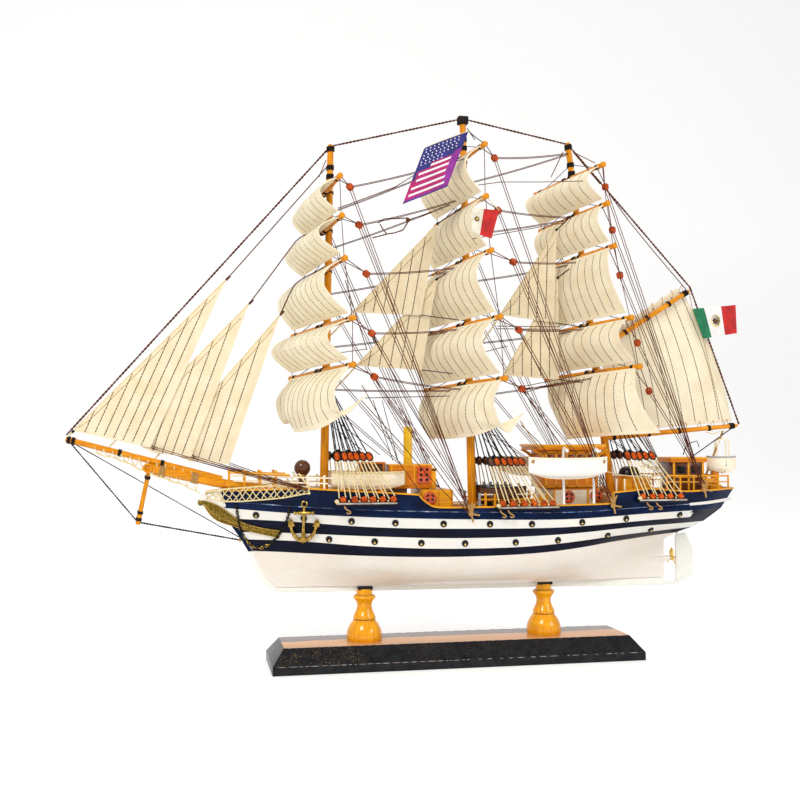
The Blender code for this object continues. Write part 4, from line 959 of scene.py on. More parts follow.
# tapers: share of the way along, share of the radius
MAST_TAPER = ((0.0, 1.0), (0.35, 0.92), (0.7, 0.82))
GAFF_TAPER = ((0.0, 0.9), (0.05, 1.0), (0.6, 0.96), (0.95, 0.8), (0.985, 0.78), (1.0, 0.5))
JIB_BOOM_TAPER = ((0.0, 0.8), (0.01, 0.92), (0.1, 0.94), (0.6, 1.0), (1.0, 1.0))
BOWSPRIT_TAPER = ((0.0, 0.55), (0.02, 0.9), (0.05, 1.0), (0.9, 1.0), (1.0, 0.9))
STRIKER_TAPER = ((0.0, 0.9), (0.6, 0.95), (0.93, 1.1), (1.0, 0.9))
CAP_TAPER = ((0.0, 1.0), (0.7, 1.0), (0.85, 0.92), (1.0, 0.5))


def mast_point(mast, z):
    """x and radius of a mast at a height."""
    (foot_x, foot_z), (head_x, head_z), foot_radius, head_radius = MASTS[mast]
    share = (z - foot_z) / (head_z - foot_z)
    return foot_x + (head_x - foot_x) * share, foot_radius + (head_radius - foot_radius) * share


def yard_axis(mast, number):
    """Centre and direction, port to starboard, of a yard, and its half length."""
    z, half, brace = YARDS[mast][number]
    x, radius = mast_point(mast, z)
    centre = Vector((x - radius - YARD_RADIUS[0] + YARD_SINK, 0.0, z))
    turn, tilt = math.radians(brace), math.radians(YARD_TILT)
    direction = Vector((-math.sin(turn) * math.cos(tilt), math.cos(turn) * math.cos(tilt), -math.sin(tilt)))
    return centre, direction, half


def yard_end(mast, number, side, inset=4.0):
    centre, along, half = yard_axis(mast, number)
    return centre + along * side * (half - inset)


def forward_of(direction):
    """Level direction towards the bow, square to a yard."""
    return Vector((-direction.y, direction.x, 0.0)).normalized()


def yard_radius(share):
    """Radius of a yard at a share, -1..1, of its half length."""
    return YARD_RADIUS[0] + (YARD_RADIUS[1] - YARD_RADIUS[0]) * abs(share)


def make_mast(mast):
    """Mast with its five yards, their ball ends, barrels and lashings."""
    foot, head, foot_radius, head_radius = MASTS[mast]
    pile = Pile()
    profile = tapered(foot_radius, MAST_TAPER) + [(1.0, head_radius)]
    lathe(pile, on_plane(foot), on_plane(head), profile, 24, 0)
    middle, tip = YARD_RADIUS
    near = ((0.0, tip * 0.75), (2.4, tip * 0.75), (2.7, tip * 1.2), (6.6, tip * 1.24), (7.0, tip))
    for number in range(len(YARDS[mast])):
        centre, along, half = yard_axis(mast, number)
        ends = centre - along * half, centre + along * half
        profile = [(d / (2 * half), r) for d, r in near]
        profile += [(0.3, middle * 0.93), (0.5, middle), (0.7, middle * 0.93)]
        profile += [(1 - d / (2 * half), r) for d, r in near[::-1]]
        lathe(pile, ends[0], ends[1], profile, 18, 1)
        for end, inward in ((ends[0], along), (ends[1], -along)):
            ball(pile, end, KNOB_RADIUS, 14, 1)
            coil(pile, end + inward * 8.6, along, tip + 0.25, 0.36, 4, 2)
        for side in SIDES:
            coil(pile, centre + along * side * 4.6, along, middle + 0.3, 0.45, 4, 2)
        x, radius = mast_point(mast, centre.z)
        reach = radius + middle - YARD_SINK / 2 + 0.5
        for tilt in (-1.6, 1.6):
            sling = circle(((centre.x + x) / 2, 0.0, centre.z + 0.6 * tilt), (reach, 0.0, 0.0),
                           (0.0, radius + 0.8, tilt), 16)
            tube(pile, sling, 0.5, 5, 2, loop=True)
    for z in (head[1] - 14.0, head[1] - 22.0):
        x, radius = mast_point(mast, z)
        coil(pile, (x, 0.0, z), UP, radius + 0.315, 0.45, 5, 2)
    for fore, aft, radius in (GAFF, BOOM) if mast == "mizzen" else ():
        start, end = on_plane(fore), on_plane(aft)
        lathe(pile, start, end, tapered(radius, GAFF_TAPER), 18, 3)
        for share, turns in ((0.06, 4), (0.32, 3), (0.55, 3), (0.78, 3), (0.955, 6)):
            coil(pile, start.lerp(end, share), end - start, radius * 0.92 + 0.35, 0.42, turns, 2)
    pile.piece("spars_" + mast, [SPAR_Z, SPAR_Y, THREAD_BLACK, SPAR_X], "spar_varnish",
               stands_for=("mast_" + mast,))


def make_bowsprit():
    pile = Pile()
    tip, heel, radius = on_plane(JIB_BOOM[0]), on_plane(JIB_BOOM[1]), JIB_BOOM[2]
    lathe(pile, tip, heel, tapered(radius, JIB_BOOM_TAPER), 20, 0)
    along = (heel - tip).normalized()
    ties = [tip.lerp(heel, (x - tip.x) / (heel.x - tip.x)) for x in BOOM_TIES]
    for at in (tip + along * 2.6, tip + along * 6.4, *ties):
        coil(pile, at, along, radius + 0.3, 0.5, 3, 1)
    fore, aft, thick = on_plane(LOWER_BOWSPRIT[0]), on_plane(LOWER_BOWSPRIT[1]), LOWER_BOWSPRIT[2]
    lathe(pile, fore, aft, tapered(thick, BOWSPRIT_TAPER), 22, 0)
    slope = (aft - fore).normalized()
    for share, turns in ((0.22, 5), (0.62, 6)):
        coil(pile, fore.lerp(aft, share), slope, thick + 0.4, 0.5, turns, 2)
    ring = circle(fore + slope * 3.0 - Vector((0.0, thick, 0.0)), (3.2, 0.0, 0.0), UP * 3.2, 18)
    tube(pile, ring, 1.0, 8, 0, loop=True)
    top, foot, thin = on_plane(STRIKER[0]), on_plane(STRIKER[1]), STRIKER[2]
    lathe(pile, top, foot, tapered(thin, STRIKER_TAPER), 16, 3)
    for share, turns in ((0.14, 3), (0.78, 3), (0.9, 3)):
        coil(pile, top.lerp(foot, share), foot - top, thin + 0.3, 0.45, turns, 1)
    knot, strop = on_plane(MARTINGALE_FOOT), foot + UP * 2.0
    for start, end, thread_radius in ((tip + Vector((2.0, 0.0, -1.0)), strop, 0.42), (strop, knot, 0.5),
                                      (tip + Vector((4.0, 0.0, -2.2)), knot + Vector((1.0, 0.0, 1.4)), 0.32)):
        twisted(pile, start, end, thread_radius, paint_index=1)
    ball(pile, knot, 1.5, 10, 2)
    pile.piece("bowsprit_spars", [SPAR_X, THREAD_BLACK, THREAD_TAN, SPAR_Z], "spar_varnish",
               stands_for=("bowsprit",))


def make_masthead_rigging():
    """Caps on the mastheads with the stays that run over them from bowsprit to boom."""
    pile = Pile()
    tops = []
    for mast, (foot, head, _, radius) in MASTS.items():
        start = on_plane(head) + UP * 0.3
        lean = (on_plane(head) - on_plane(foot)).normalized()
        end = start + lean * CAP_HEIGHT
        tops.append(start.lerp(end, 0.75))
        if mast == "main":
            block(pile, (start.x - 4.6, start.x + 4.6), (-4.0, 4.0), (start.z, end.z), 0.6, 0)
        else:
            lathe(pile, start, end, tapered(radius, CAP_TAPER), 18, 2)
            coil(pile, start + lean * 2.4, lean, radius + 0.45, 0.6, 4, 0, 1.15)
    tip = on_plane(JIB_BOOM[0]) + Vector((0.4, 0.0, JIB_BOOM[2] + 0.8))
    peak = on_plane(GAFF[1]) + Vector((0.6, 0.0, GAFF[2] + 1.2))
    corner = on_plane(GAFF[1]) + Vector((1.6, 0.0, 1.2))
    route = [tip, *tops, peak, corner, on_plane(BOOM[1]) + Vector((1.8, 0.0, 1.0))]
    for start, end in zip(route, route[1:]):
        twisted(pile, start, end, STAY_RADIUS, 7.0, paint_index=1)
    pile.piece("masthead_rigging", [THREAD_BLACK, THREAD_BROWN, SPAR_Z], "rigging",
               stands_for=("masthead_stays",))


# Sails

SAIL_HEAD_DROP = 1.0
SAIL_FOOT_RISE = 5.0
SAIL_INSET = 3.5
SAIL_CLEAR = 0.4                          # air between a yard and its sail
SAIL_DEPTHS = {
    "fore": (17.0, 21.0, 22.0, 23.0),
    "main": (17.0, 14.0, 16.0, 19.0),
    "mizzen": (16.0, 10.0, 9.0, 16.0),
}
COURSES = {  # aft of the yard, above the yard: at the middle and at the clew, from the yard down
    "fore": (((-3.0, -1.0), (-16.0, -14.0), (-20.0, -32.0), (-14.0, -52.0)),
             ((-3.0, -1.0), (-17.0, -22.0), (-8.0, -42.0), (14.0, -24.0))),
    "main": (((-3.0, -1.0), (-15.0, -14.0), (-18.0, -30.0), (-10.0, -48.0)),
             ((-3.0, -1.0), (-11.0, -22.0), (4.0, -46.0), (22.0, -29.0))),
    "mizzen": (((-3.0, -1.0), (-10.0, -18.0), (-9.0, -40.0), (-2.0, -59.0)),
               ((-3.0, -1.0), (-2.0, -20.0), (9.0, -38.0), (30.0, -58.0))),
}
SQUARE_SEAMS = (7, 8, 9, 9, 10)          # of each sail from the top yard down
JIBS = {  # head, tack, low point of the foot, clew, top of the stay, y, seams
    "jib_outer": ((-204.0, 333.0), (-328.5, 203.0), (-290.0, 194.0), (-266.0, 189.0), (-120.5, 437.0),
                  -1.8, 7),
    "jib_middle": ((-184.0, 313.0), (-290.0, 200.0), (-265.0, 184.5), (-232.0, 181.0), (-119.6, 383.6),
                   0.0, 6),
    "jib_inner": ((-157.0, 304.0), (-255.0, 188.0), (-234.0, 177.0), (-200.0, 174.5), (-119.5, 347.8),
                  1.8, 5),
}
STAY_CLEAR = 1.1                          # from the middle of a sail's cloth to the middle of a stay over it
STAYSAILS = {  # head, tack, clew, mast that the stay starts from, y, seams
    "staysail_main_upper": ((-16.0, 390.0), (-93.0, 308.0), (-31.0, 307.0), "fore", -1.2, 6),
    "staysail_main_lower": ((-16.0, 340.0), (-89.0, 261.0), (-30.0, 258.0), "fore", 1.2, 5),
    "staysail_mizzen_upper": ((97.0, 389.0), (43.0, 309.0), (94.0, 303.0), "main", -1.2, 5),
    "staysail_mizzen_lower": ((99.0, 345.0), (46.0, 254.0), (99.0, 251.0), "main", 1.2, 5),
}
SPANKER_Y = 3.7
SPANKER_TOP = ((140.0, 288.5), (182.0, 315.5), (219.0, 339.0), (226.5, 331.0))
SPANKER_FOOT = ((150.0, 202.5), (273.0, 213.0))
SPANKER_ROACH = 7.5
SPANKER_SEAMS = 9
CLOTH_HALF = 0.26
HEM_HALF = 0.46
TUCK_HALF = 0.36
HEM_SHARE = 0.022                         # of a square sail's breadth
LUFF_HEM = 8.74                           # down the cloth
SQUARE_ROWS = 24
CORNER_ROWS = 22
LACINGS = 9                               # of the spanker on each of its spars
DASH = 2.5
DASH_PITCH = 2.85
DASH_FACES = ((0, 1, 3, 2), (4, 6, 7, 5), (0, 4, 5, 1), (2, 3, 7, 6), (0, 2, 6, 4), (1, 5, 7, 3))


def curve_through(points, t):
    """Point at t, 0..1, of a smooth curve through evenly spaced points."""
    rows = [(i / (len(points) - 1), *point) for i, point in enumerate(points)]
    return [smooth_value(rows, t, column + 1) for column in range(len(points[0]))]


def seam_places(seams, hem, ease=0.012):
    """Places 0..1 across a cloth: its hems, three to each panel and one on each seam."""
    places = [(0.0, HEM_HALF), (hem, HEM_HALF), (hem + 0.006, CLOTH_HALF)]
    marks = [(k + 1) / (seams + 1) for k in range(seams)]
    edges = [hem + 0.006, *marks, 1 - hem - 0.006]
    for left, right in zip(edges, edges[1:]):
        places += [(left + (right - left) * share, CLOTH_HALF) for share in (0.25, 0.5, 0.75)]
    for mark in marks:
        places += [(mark - ease, CLOTH_HALF), (mark, TUCK_HALF), (mark + ease, CLOTH_HALF)]
    places += [(1 - hem - 0.006, CLOTH_HALF), (1 - hem, HEM_HALF), (1.0, HEM_HALF)]
    return sorted(places), marks


def normals_of(grid):
    """Normal of a surface at each point of its grid."""
    rows, columns = len(grid), len(grid[0])
    normals = []
    for j in range(rows):
        row = []
        for i in range(columns):
            across = grid[j][min(i + 1, columns - 1)] - grid[j][max(i - 1, 0)]
            down = grid[min(j + 1, rows - 1)][i] - grid[max(j - 1, 0)][i]
            row.append(across.cross(down).normalized())
        normals.append(row)
    return normals


def sheet_piece(name, grid, halves, material, stands_for=(), slot="sail_cloth",
                paints=None):
    """One sheet of cloth from a grid of points and its half thickness at each."""
    rows, columns = len(grid), len(grid[0])
    normals = normals_of(grid)
    pile = Pile()
    for face in (1.0, -1.0):
        pile.points += [tuple(grid[j][i] + normals[j][i] * halves[j][i] * face)
                        for j in range(rows) for i in range(columns)]
    total = rows * columns
    for j in range(rows - 1):
        for i in range(columns - 1):
            a = j * columns + i
            pile.faces += [(a, a + 1, a + columns + 1, a + columns),
                           (total + a, total + a + columns, total + a + columns + 1, total + a + 1)]
            pile.paints += [paints(j, i) if paints else 0] * 2
            a, b, c, d = grid[j][i], grid[j][i + 1], grid[j + 1][i + 1], grid[j + 1][i]
    rim = list(range(columns)) + [j * columns + columns - 1 for j in range(1, rows)]
    rim += [(rows - 1) * columns + i for i in range(columns - 2, -1, -1)]
    rim += [j * columns for j in range(rows - 2, 0, -1)]
    for a, b in zip(rim, rim[1:] + rim[:1]):
        pile.faces.append((a, total + a, total + b, b))
        pile.paints.append(0)
    materials = material if isinstance(material, list) else [material]
    obj = pile.piece(name, materials, slot, sharp=62.0, stands_for=stands_for)


def seam_lines(grid, places, marks, rows):
    """Points and normals of a cloth down each of its seams, on the given rows."""
    normals = normals_of(grid)
    columns = [min(range(len(places)), key=lambda i: abs(places[i][0] - mark)) for mark in marks]
    return [[(grid[j][i], normals[j][i]) for j in rows] for i in columns]


def stitching(name, lines, half=TUCK_HALF + 0.07, wide=0.31, sewn=THREAD_SEAM):
    """Dashed seams through the cloth; each line is a list of (point, normal)."""
    pile = Pile()
    for line in lines:
        reach = reaches([point for point, _ in line])

        def at(distance):
            k, t = leg_at(reach, distance)
            return line[k][0].lerp(line[k + 1][0], t), line[k][1].lerp(line[k + 1][1], t).normalized()
        start = 0.5
        while start + DASH < reach[-1]:
            (p, n), (q, m) = at(start), at(start + DASH)
            side = (q - p).cross(n).normalized() * wide
            corners = [end + edge * side + face * up * half for end, up in ((p, n), (q, m))
                       for edge in (-1, 1) for face in (-1, 1)]
            pile.add(corners, DASH_FACES)
            start += DASH_PITCH * random.uniform(0.92, 1.1)
    return pile.piece(name, [sewn], "sail_cloth", sharp=30.0)


def hung_sail(name, point, seams):
    """Square sail from a function of (across -1..1, down 0..1)."""
    places, marks = seam_places(seams, HEM_SHARE)
    hems = (0.0, 0.035, 0.965, 1.0)
    downs = [*hems[:2], *(0.04 + 0.92 * k / SQUARE_ROWS for k in range(SQUARE_ROWS + 1)), *hems[2:]]
    grid = [[point(2 * u - 1, v) for u, _ in places] for v in downs]
    halves = [[max(half, HEM_HALF if v in hems else 0.0) for _, half in places] for v in downs]
    sewn = stitching(name + "_stitching", seam_lines(grid, places, marks, range(2, len(downs) - 2)))
    sheet_piece(name + "_cloth", grid, halves, SAIL, (name,))


def square_surface(mast, number):
    """Middle surface of a square sail: a function of the places across, -1..1, and down, 0..1."""
    upper, upper_along, upper_half = yard_axis(mast, number)
    if number < 4:
        lower, lower_along, lower_half = yard_axis(mast, number + 1)
        head_half, foot_half = upper_half - SAIL_INSET, lower_half - SAIL_INSET - 1.0
        depth = SAIL_DEPTHS[mast][number]

        def point(u, v):
            clear = yard_radius(u) + SAIL_CLEAR
            head = upper + upper_along * head_half * u + forward_of(upper_along) * clear
            head.z -= SAIL_HEAD_DROP
            foot = lower + lower_along * foot_half * u + forward_of(lower_along) * clear
            foot.z += SAIL_FOOT_RISE
            belly = depth * math.sin(math.pi * v**0.85) * (1.0 - 0.12 * u * u)
            return head.lerp(foot, v) + forward_of(upper_along.lerp(lower_along, v)) * belly
        return point
    middle, clew = COURSES[mast]

    def course(u, v):
        mid_x, mid_z = curve_through(middle, v)
        clew_x, clew_z = curve_through(clew, v)
        share = abs(u) ** 4
        aft = mid_x + (clew_x - mid_x) * share + YARD_RADIUS[0] - yard_radius(u)
        rise = mid_z + (clew_z - mid_z) * share
        along = upper + upper_along * (upper_half - SAIL_INSET) * u
        return along - forward_of(upper_along) * aft + UP * rise
    return course


def make_square_sails(mast):
    for number, seams in enumerate(SQUARE_SEAMS):
        hung_sail(f"sail_{mast}_{number + 1}", square_surface(mast, number), seams)


def taut_over_sails(start, end, mast):
    """Points of a taut stay from start to end, laid over the fronts of the square sails that it meets."""
    cloth_points = [square_surface(mast, number)(u, v) for number in range(4)
                    for u in np.linspace(-1.0, 1.0, 61) for v in np.linspace(0.0, 1.0, 41)]
    sails = np.array([tuple(point) for point in cloth_points])
    kept = []
    for point in sagging(start, end, 0.0, 40):
        near = sails[(abs(sails[:, 1] - point.y) < 2.0) & (abs(sails[:, 2] - point.z) < 1.3)]
        if len(near) and kept and (point - end).length > 1.0:
            point.x = min(point.x, float(near[:, 0].min()) - STAY_CLEAR)
        while len(kept) > 1:
            share = (kept[-1].z - kept[-2].z) / (point.z - kept[-2].z)
            if kept[-1].x < kept[-2].x + (point.x - kept[-2].x) * share - 1e-4:
                break
            kept.pop()
        kept.append(point)
    return kept


def three_cornered(name, head, tack, low, clew, y, seams, bag):
    """Sail whose seams run along its leech, from the luff down to the foot."""
    head, tack, low, clew = (on_plane(place, y) for place in (head, tack, low, clew))
    turn = (low.x - tack.x) / (clew.x - tack.x)
    places, marks = seam_places(seams, 0.02, 0.008)
    places = [(0.012 + 0.988 * u, half) for u, half in places]
    marks = [0.012 + 0.988 * mark for mark in marks]
    grid, halves = [[] for _ in range(CORNER_ROWS)], [[] for _ in range(CORNER_ROWS)]
    for u, half in places:
        top = tack.lerp(head, u)
        foot = tack.lerp(low, u / turn) if u < turn else low.lerp(clew, (u - turn) / (1 - turn))
        length = (foot - top).length
        hem, edge = min(LUFF_HEM / length, 0.42), min(1.8 / length, 0.2)
        downs = [0.0, hem, hem + 0.02 * (1 - hem)]
        downs += [hem + (1 - hem - edge) * (k + 1) / 17 for k in range(CORNER_ROWS - 6)]
        downs += [1 - edge - 0.01, 1 - edge, 1.0]
        for j, v in enumerate(downs):
            swell = bag * math.sin(math.pi * u) * math.sin(math.pi * v)
            grid[j].append(top.lerp(foot, v) + Vector((0.0, -swell, 0.0)))
            halves[j].append(max(half, HEM_HALF if j in (0, 1, 20, 21) else 0.0))
    lines = seam_lines(grid, places, marks, range(CORNER_ROWS))
    sewn = stitching(name + "_stitching", lines, HEM_HALF + 0.05)
    hem_line = list(zip(grid[1], normals_of(grid)[1]))[2:-2]
    hemmed = stitching(name + "_hem", [hem_line], HEM_HALF + 0.04, 0.26, THREAD_TAN)
    sheet_piece(name + "_cloth", grid, halves, HEADSAIL, (name,))


def jib_with_stay(pile, name, head, tack, low, clew, stay_top, y, seams):
    """Jib with its bolt rope down to the jib boom and its stay up to the fore mast."""
    three_cornered(name, head, tack, low, clew, y, seams, 0.5)
    (x0, z0), (x1, z1), radius = JIB_BOOM
    corner, peak = on_plane(tack, y), on_plane(head, y)
    luff = (peak - corner).normalized()
    boom_z = z0 + (tack[0] - x0) * (z1 - z0) / (x1 - x0) + radius
    back = max((tack[1] - boom_z) / (luff.z + 0.26 * luff.x), 0.0)
    twisted(pile, corner - luff * back, peak, 0.55, 4.0, paint_index=0)
    mast_x, mast_radius = mast_point("fore", stay_top[1])
    tube(pile, taut_over_sails(peak, Vector((mast_x - mast_radius, y, stay_top[1])), "fore"), 0.55, 6, 1)
    coil(pile, peak + luff * 3.0, luff, 0.8, 0.4, 6, 1)
    coil(pile, corner - luff, luff, 0.9, 0.4, 3, 2)


def staysail_with_stay(pile, name, head, tack, clew, mast, y, seams):
    """Staysail on its stay from a mast up to the next one aft, with the tie at its clew."""
    next_mast = NEXT_MAST[mast]
    middle = tuple((a + b) / 2 for a, b in zip(tack, clew))
    three_cornered(name, head, tack, middle, clew, y, seams, 0.45)
    start, peak = on_plane(tack, y), on_plane(head, y)
    luff = (peak - start).normalized()
    for _ in range(3):
        mast_x, mast_radius = mast_point(mast, start.z)
        start -= luff * ((start.x - mast_x - mast_radius) / luff.x)
    twisted(pile, start, peak, 0.5, 4.0, paint_index=0)
    for place, rise, line in ((peak, 16.0, twisted), (on_plane(clew, y), -4.0, None)):
        mast_x, mast_radius = mast_point(next_mast, place.z + rise)
        end = Vector((mast_x - mast_radius, y, place.z + rise))
        if line:
            line(pile, place, end, 0.42, paint_index=1)
        else:
            tube(pile, [place, end], 0.4, 6, 2)
    coil(pile, peak, luff, 0.8, 0.35, 4, 2)


def make_headsails():
    """Jibs and staysails, their bolt ropes and the stays that they are set on."""
    pile = Pile()
    for name, row in JIBS.items():
        jib_with_stay(pile, name, *row)
    for name, row in STAYSAILS.items():
        staysail_with_stay(pile, name, *row)
    pile.piece("headsail_stays", [THREAD_CREAM, THREAD_BROWN, THREAD_BLACK], "rigging")


def make_spanker():
    reach = reaches([on_plane(place) for place in SPANKER_TOP])
    top = [(at, *place) for at, place in zip(reach, SPANKER_TOP)]
    tack, clew = (on_plane(place, SPANKER_Y) for place in SPANKER_FOOT)
    places, marks = seam_places(SPANKER_SEAMS, 0.018, 0.008)
    downs = [0.0, 0.02] + [0.025 + 0.95 * k / SQUARE_ROWS for k in range(SQUARE_ROWS + 1)] + [0.98, 1.0]
    grid, halves = [], []
    for v in downs:
        bow = math.sin(math.pi * v)
        grid.append([])
        for u, _ in places:
            edge = Vector((line_value(top, reach[-1] * u, 1), SPANKER_Y, line_value(top, reach[-1] * u, 2)))
            swell = Vector((SPANKER_ROACH * u * bow, bow * math.sin(math.pi * u), 0.0))
            grid[-1].append(edge.lerp(tack.lerp(clew, u), v) + swell)
        halves.append([max(half, HEM_HALF if v in (0.0, 0.02, 0.98, 1.0) else 0.0) for _, half in places])
    sewn = stitching("spanker_stitching", seam_lines(grid, places, marks, range(len(downs))))
    sheet_piece("spanker_cloth", grid, halves, SAIL, ("spanker",))
    lacing = Pile()
    for (fore, aft, _), line in ((GAFF, SPANKER_TOP[:3]), (BOOM, SPANKER_FOOT)):
        for k in range(LACINGS):
            spar = on_plane(fore).lerp(on_plane(aft), 0.08 + 0.84 * k / (LACINGS - 1))
            edge = line_value(line, spar.x, 1)
            loop = circle((spar.x, 1.9, (spar.z + edge) / 2), (0.0, 3.0, 0.0),
                          (0.8, 0.0, abs(edge - spar.z) / 2 + 2.6), 10)
            tube(lacing, loop, 0.28, 5, 0, loop=True)
    lacing.piece("spanker_lacing", [THREAD_TAN], "rigging")


# Flags

# corners: x, z of the top edge's two ends, then of the foot's two, from aft
FLAG_MAIN_Y = -54.5
FLAG_MAIN = ((-40.0, 443.0), (-1.0, 460.0), (-20.0, 411.0), (-59.0, 394.0))
FLAG_STRIPES = (  # height on the flag, its two ends along it
    (0.41, 0.34, 0.80), (0.515, 0.12, 0.80), (0.63, 0.12, 0.79), (0.76, 0.07, 0.83), (0.88, 0.07, 0.87),
)
FLAG_STRIPE_HALF = 0.021                  # of a stripe's height
ENSIGN_Y = -1.4
ENSIGN = ((231.5, 319.0), (276.0, 324.0), (277.0, 297.0), (242.0, 291.0))
ENSIGN_BARS = (0.25, 0.66)                # where its colours change
ENSIGN_ROUND = (0.455, 0.47, 5.2)        # place on the flag and the radius of the plain ornament
PENNANT_Y = -53.0
PENNANT_ROUND = (0.20, 0.42)
PENNANT_SPLIT = 0.42
PENNANT = ((2.6, 394.0), (26.4, 393.0), (19.5, 368.2), (1.6, 373.0))
FLAG_HALF = 0.2                           # of a flag's thickness
FLAG_ACROSS = (0.0, 0.07, 0.12, 0.22, 0.34, 0.5, 0.65, 0.79, 0.80, 0.83, 0.87, 1.0)
FLAG_DOWN = (0.0, 0.03, 0.1, 0.2, 0.3, 0.36, 0.455, 0.6, 0.975, 1.0)
CANTON = ((1.0, 0.3), (0.83, 0.36), (0.34, 0.455), (0.07, 0.6))   # breadth and height of its steps
FLAG_FOOT = 0.975                         # height on the flag where its dark foot begins
FLAG_FIELD = (0.80, 0.92)                 # the ground turns purple beyond these
DOTS = (6, 9)                             # rows, and dots in a row


def flag_cloth(name, dark, light):
    """Printed cotton: a coarse weave and soft shade."""
    made = new_material(name, 0.6, sheen=0.3)
    weave = combined(made, "MULTIPLY", waves(made, 0.4, "Z", 0.4), waves(made, 0.4, "X", 0.4))
    shade = noise(made, 9.0, 3.0, 0.6)
    colour = ramp(made, shade, ((0.35, dark), (0.65, light)))
    return paint_with(made, colour, combined(made, "ADD", weave, shade), 0.12)


def flag_point(corners, y, wave):
    """Function that gives a flag's point at u along it and v down it, and out from its cloth."""
    a, b, c, d = (Vector((x, y, z)) for x, z in corners)

    def at(u, v, out=0.0):
        ripple = wave * math.sin(math.pi * (1.6 * u + 0.5 * v)) * math.sin(math.pi * min(u + 0.15, 1.0))
        return a.lerp(b, u).lerp(d.lerp(c, u), v) + Vector((0.0, out - ripple, 0.0))
    return at


FLAG_BLUE = flag_cloth("cloth_flag_blue", (0.012, 0.012, 0.13), (0.026, 0.026, 0.24))
FLAG_MAGENTA = flag_cloth("cloth_flag_magenta", (0.34, 0.004, 0.10), (0.50, 0.010, 0.16))
FLAG_WHITE = flag_cloth("cloth_flag_white", (0.82, 0.80, 0.80), (0.92, 0.90, 0.90))
FLAG_PURPLE = flag_cloth("cloth_flag_purple", (0.22, 0.010, 0.24), (0.32, 0.028, 0.33))
FLAG_GREEN = flag_cloth("cloth_flag_green", (0.0, 0.14, 0.055), (0.0, 0.21, 0.09))
FLAG_RED = flag_cloth("cloth_flag_red", (0.40, 0.003, 0.003), (0.62, 0.008, 0.006))
FLAG_CREAM = flag_cloth("cloth_flag_cream", (0.66, 0.60, 0.46), (0.86, 0.82, 0.70))


def subdivided(places, pieces):
    """Places with each space between them cut into pieces."""
    steps = [a + (b - a) * k / pieces for a, b in zip(places, places[1:]) for k in range(pieces)]
    return steps + [places[-1]]


def flag_sheet(name, at, across, down, materials, paint_at, stands_for=()):
    """Cloth of a flag; paint_at gives the number of its material at a place on it."""
    grid = [[at(u, v) for u in across] for v in down]
    halves = [[FLAG_HALF] * len(across) for _ in down]

    def paint_of(j, i):
        return paint_at((across[i] + across[i + 1]) / 2, (down[j] + down[j + 1]) / 2)
    sheet_piece(name + "_cloth", grid, halves, materials, stands_for, "flag_cloth",
                paint_of)


def disc(pile, centre, side, reach, profile, sides, paint_index=0):
    """Low round boss that stands out from a wall or a flag which faces side."""
    lathe(pile, centre, Vector(centre) + Vector((0.0, side * reach, 0.0)), profile, sides, paint_index)


def make_main_flag():
    at = flag_point(FLAG_MAIN, FLAG_MAIN_Y, 0.9)
    edges = {middle + s * FLAG_STRIPE_HALF for middle, _, _ in FLAG_STRIPES for s in (-1, 1)}
    blue, magenta, white, purple = range(4)

    def paint_at(u, v):
        if any(abs(v - middle) < FLAG_STRIPE_HALF and left < u < right
               for middle, left, right in FLAG_STRIPES):
            return white
        if v > FLAG_FOOT or any(u < breadth and v < height for breadth, height in CANTON):
            return blue
        return purple if u > FLAG_FIELD[0] or v > FLAG_FIELD[1] else magenta
    dots = Pile()
    for row in range(DOTS[0]):
        for column in range(DOTS[1]):
            u, v = 0.07 + 0.092 * column + 0.02 * (row % 2), 0.045 + 0.058 * row
            for side in () if v > 0.26 and u > 0.62 else SIDES:
                disc(dots, at(u, v, side * 0.25), side, 0.12, ((0.0, 0.62), (1.0, 0.5)), 6)
    dotted = dots.piece("flag_dots", [FLAG_WHITE], "flag_cloth")
    flag_sheet("flag_main", at, subdivided(FLAG_ACROSS, 2), subdivided(sorted(edges.union(FLAG_DOWN)), 2),
               [FLAG_BLUE, FLAG_MAGENTA, FLAG_WHITE, FLAG_PURPLE], paint_at, ("flag_main",))


def make_ensign():
    at = flag_point(ENSIGN, ENSIGN_Y, 1.2)
    badge = Pile()
    u, v, radius = ENSIGN_ROUND
    for side in SIDES:
        centre = at(u, v, side * 0.5)
        tube(badge, circle(centre, (radius * 0.86, 0.0, 0.0), UP * radius, 32), 0.55, 6, 0, loop=True)
        disc(badge, centre - Vector((0.0, side * 0.3, 0.0)), side, 0.65,
             ((0.0, 2.9), (0.8, 2.9), (1.0, 2.2)), 20, 1)
        for place in circle(centre, (3.9 * 0.86, 0.0, 0.0), UP * 3.9, 8):
            ball(badge, place, 0.55, 8, 2)
    ornament = badge.piece("ensign_ornament", [GILT, BROWN_WOOD, FLAG_GREEN], "flag_cloth")
    flag_sheet("ensign", at, subdivided([0.0, *ENSIGN_BARS, 1.0], 8), subdivided([0.0, 1.0], 14),
               [FLAG_GREEN, FLAG_WHITE, FLAG_RED], lambda u, v: sum(u > edge for edge in ENSIGN_BARS),
               ("ensign",))


def make_pennant():
    at = flag_point(PENNANT, PENNANT_Y, 0.6)
    mark = Pile()
    for side in SIDES:
        centre = at(*PENNANT_ROUND, side * 0.22)
        disc(mark, centre, side, 0.2, ((0.0, 2.1), (0.7, 2.1), (1.0, 1.6)), 16, 0)
        disc(mark, centre, side, 0.4, ((0.0, 1.1), (0.7, 1.1), (1.0, 0.7)), 12, 1)
    marked = mark.piece("pennant_ornament", [BROWN_WOOD, GILT], "flag_cloth")
    flag_sheet("pennant", at, subdivided([0.0, PENNANT_SPLIT, 1.0], 5), subdivided([0.0, 1.0], 10),
               [FLAG_CREAM, FLAG_RED], lambda u, v: int(u > PENNANT_SPLIT))


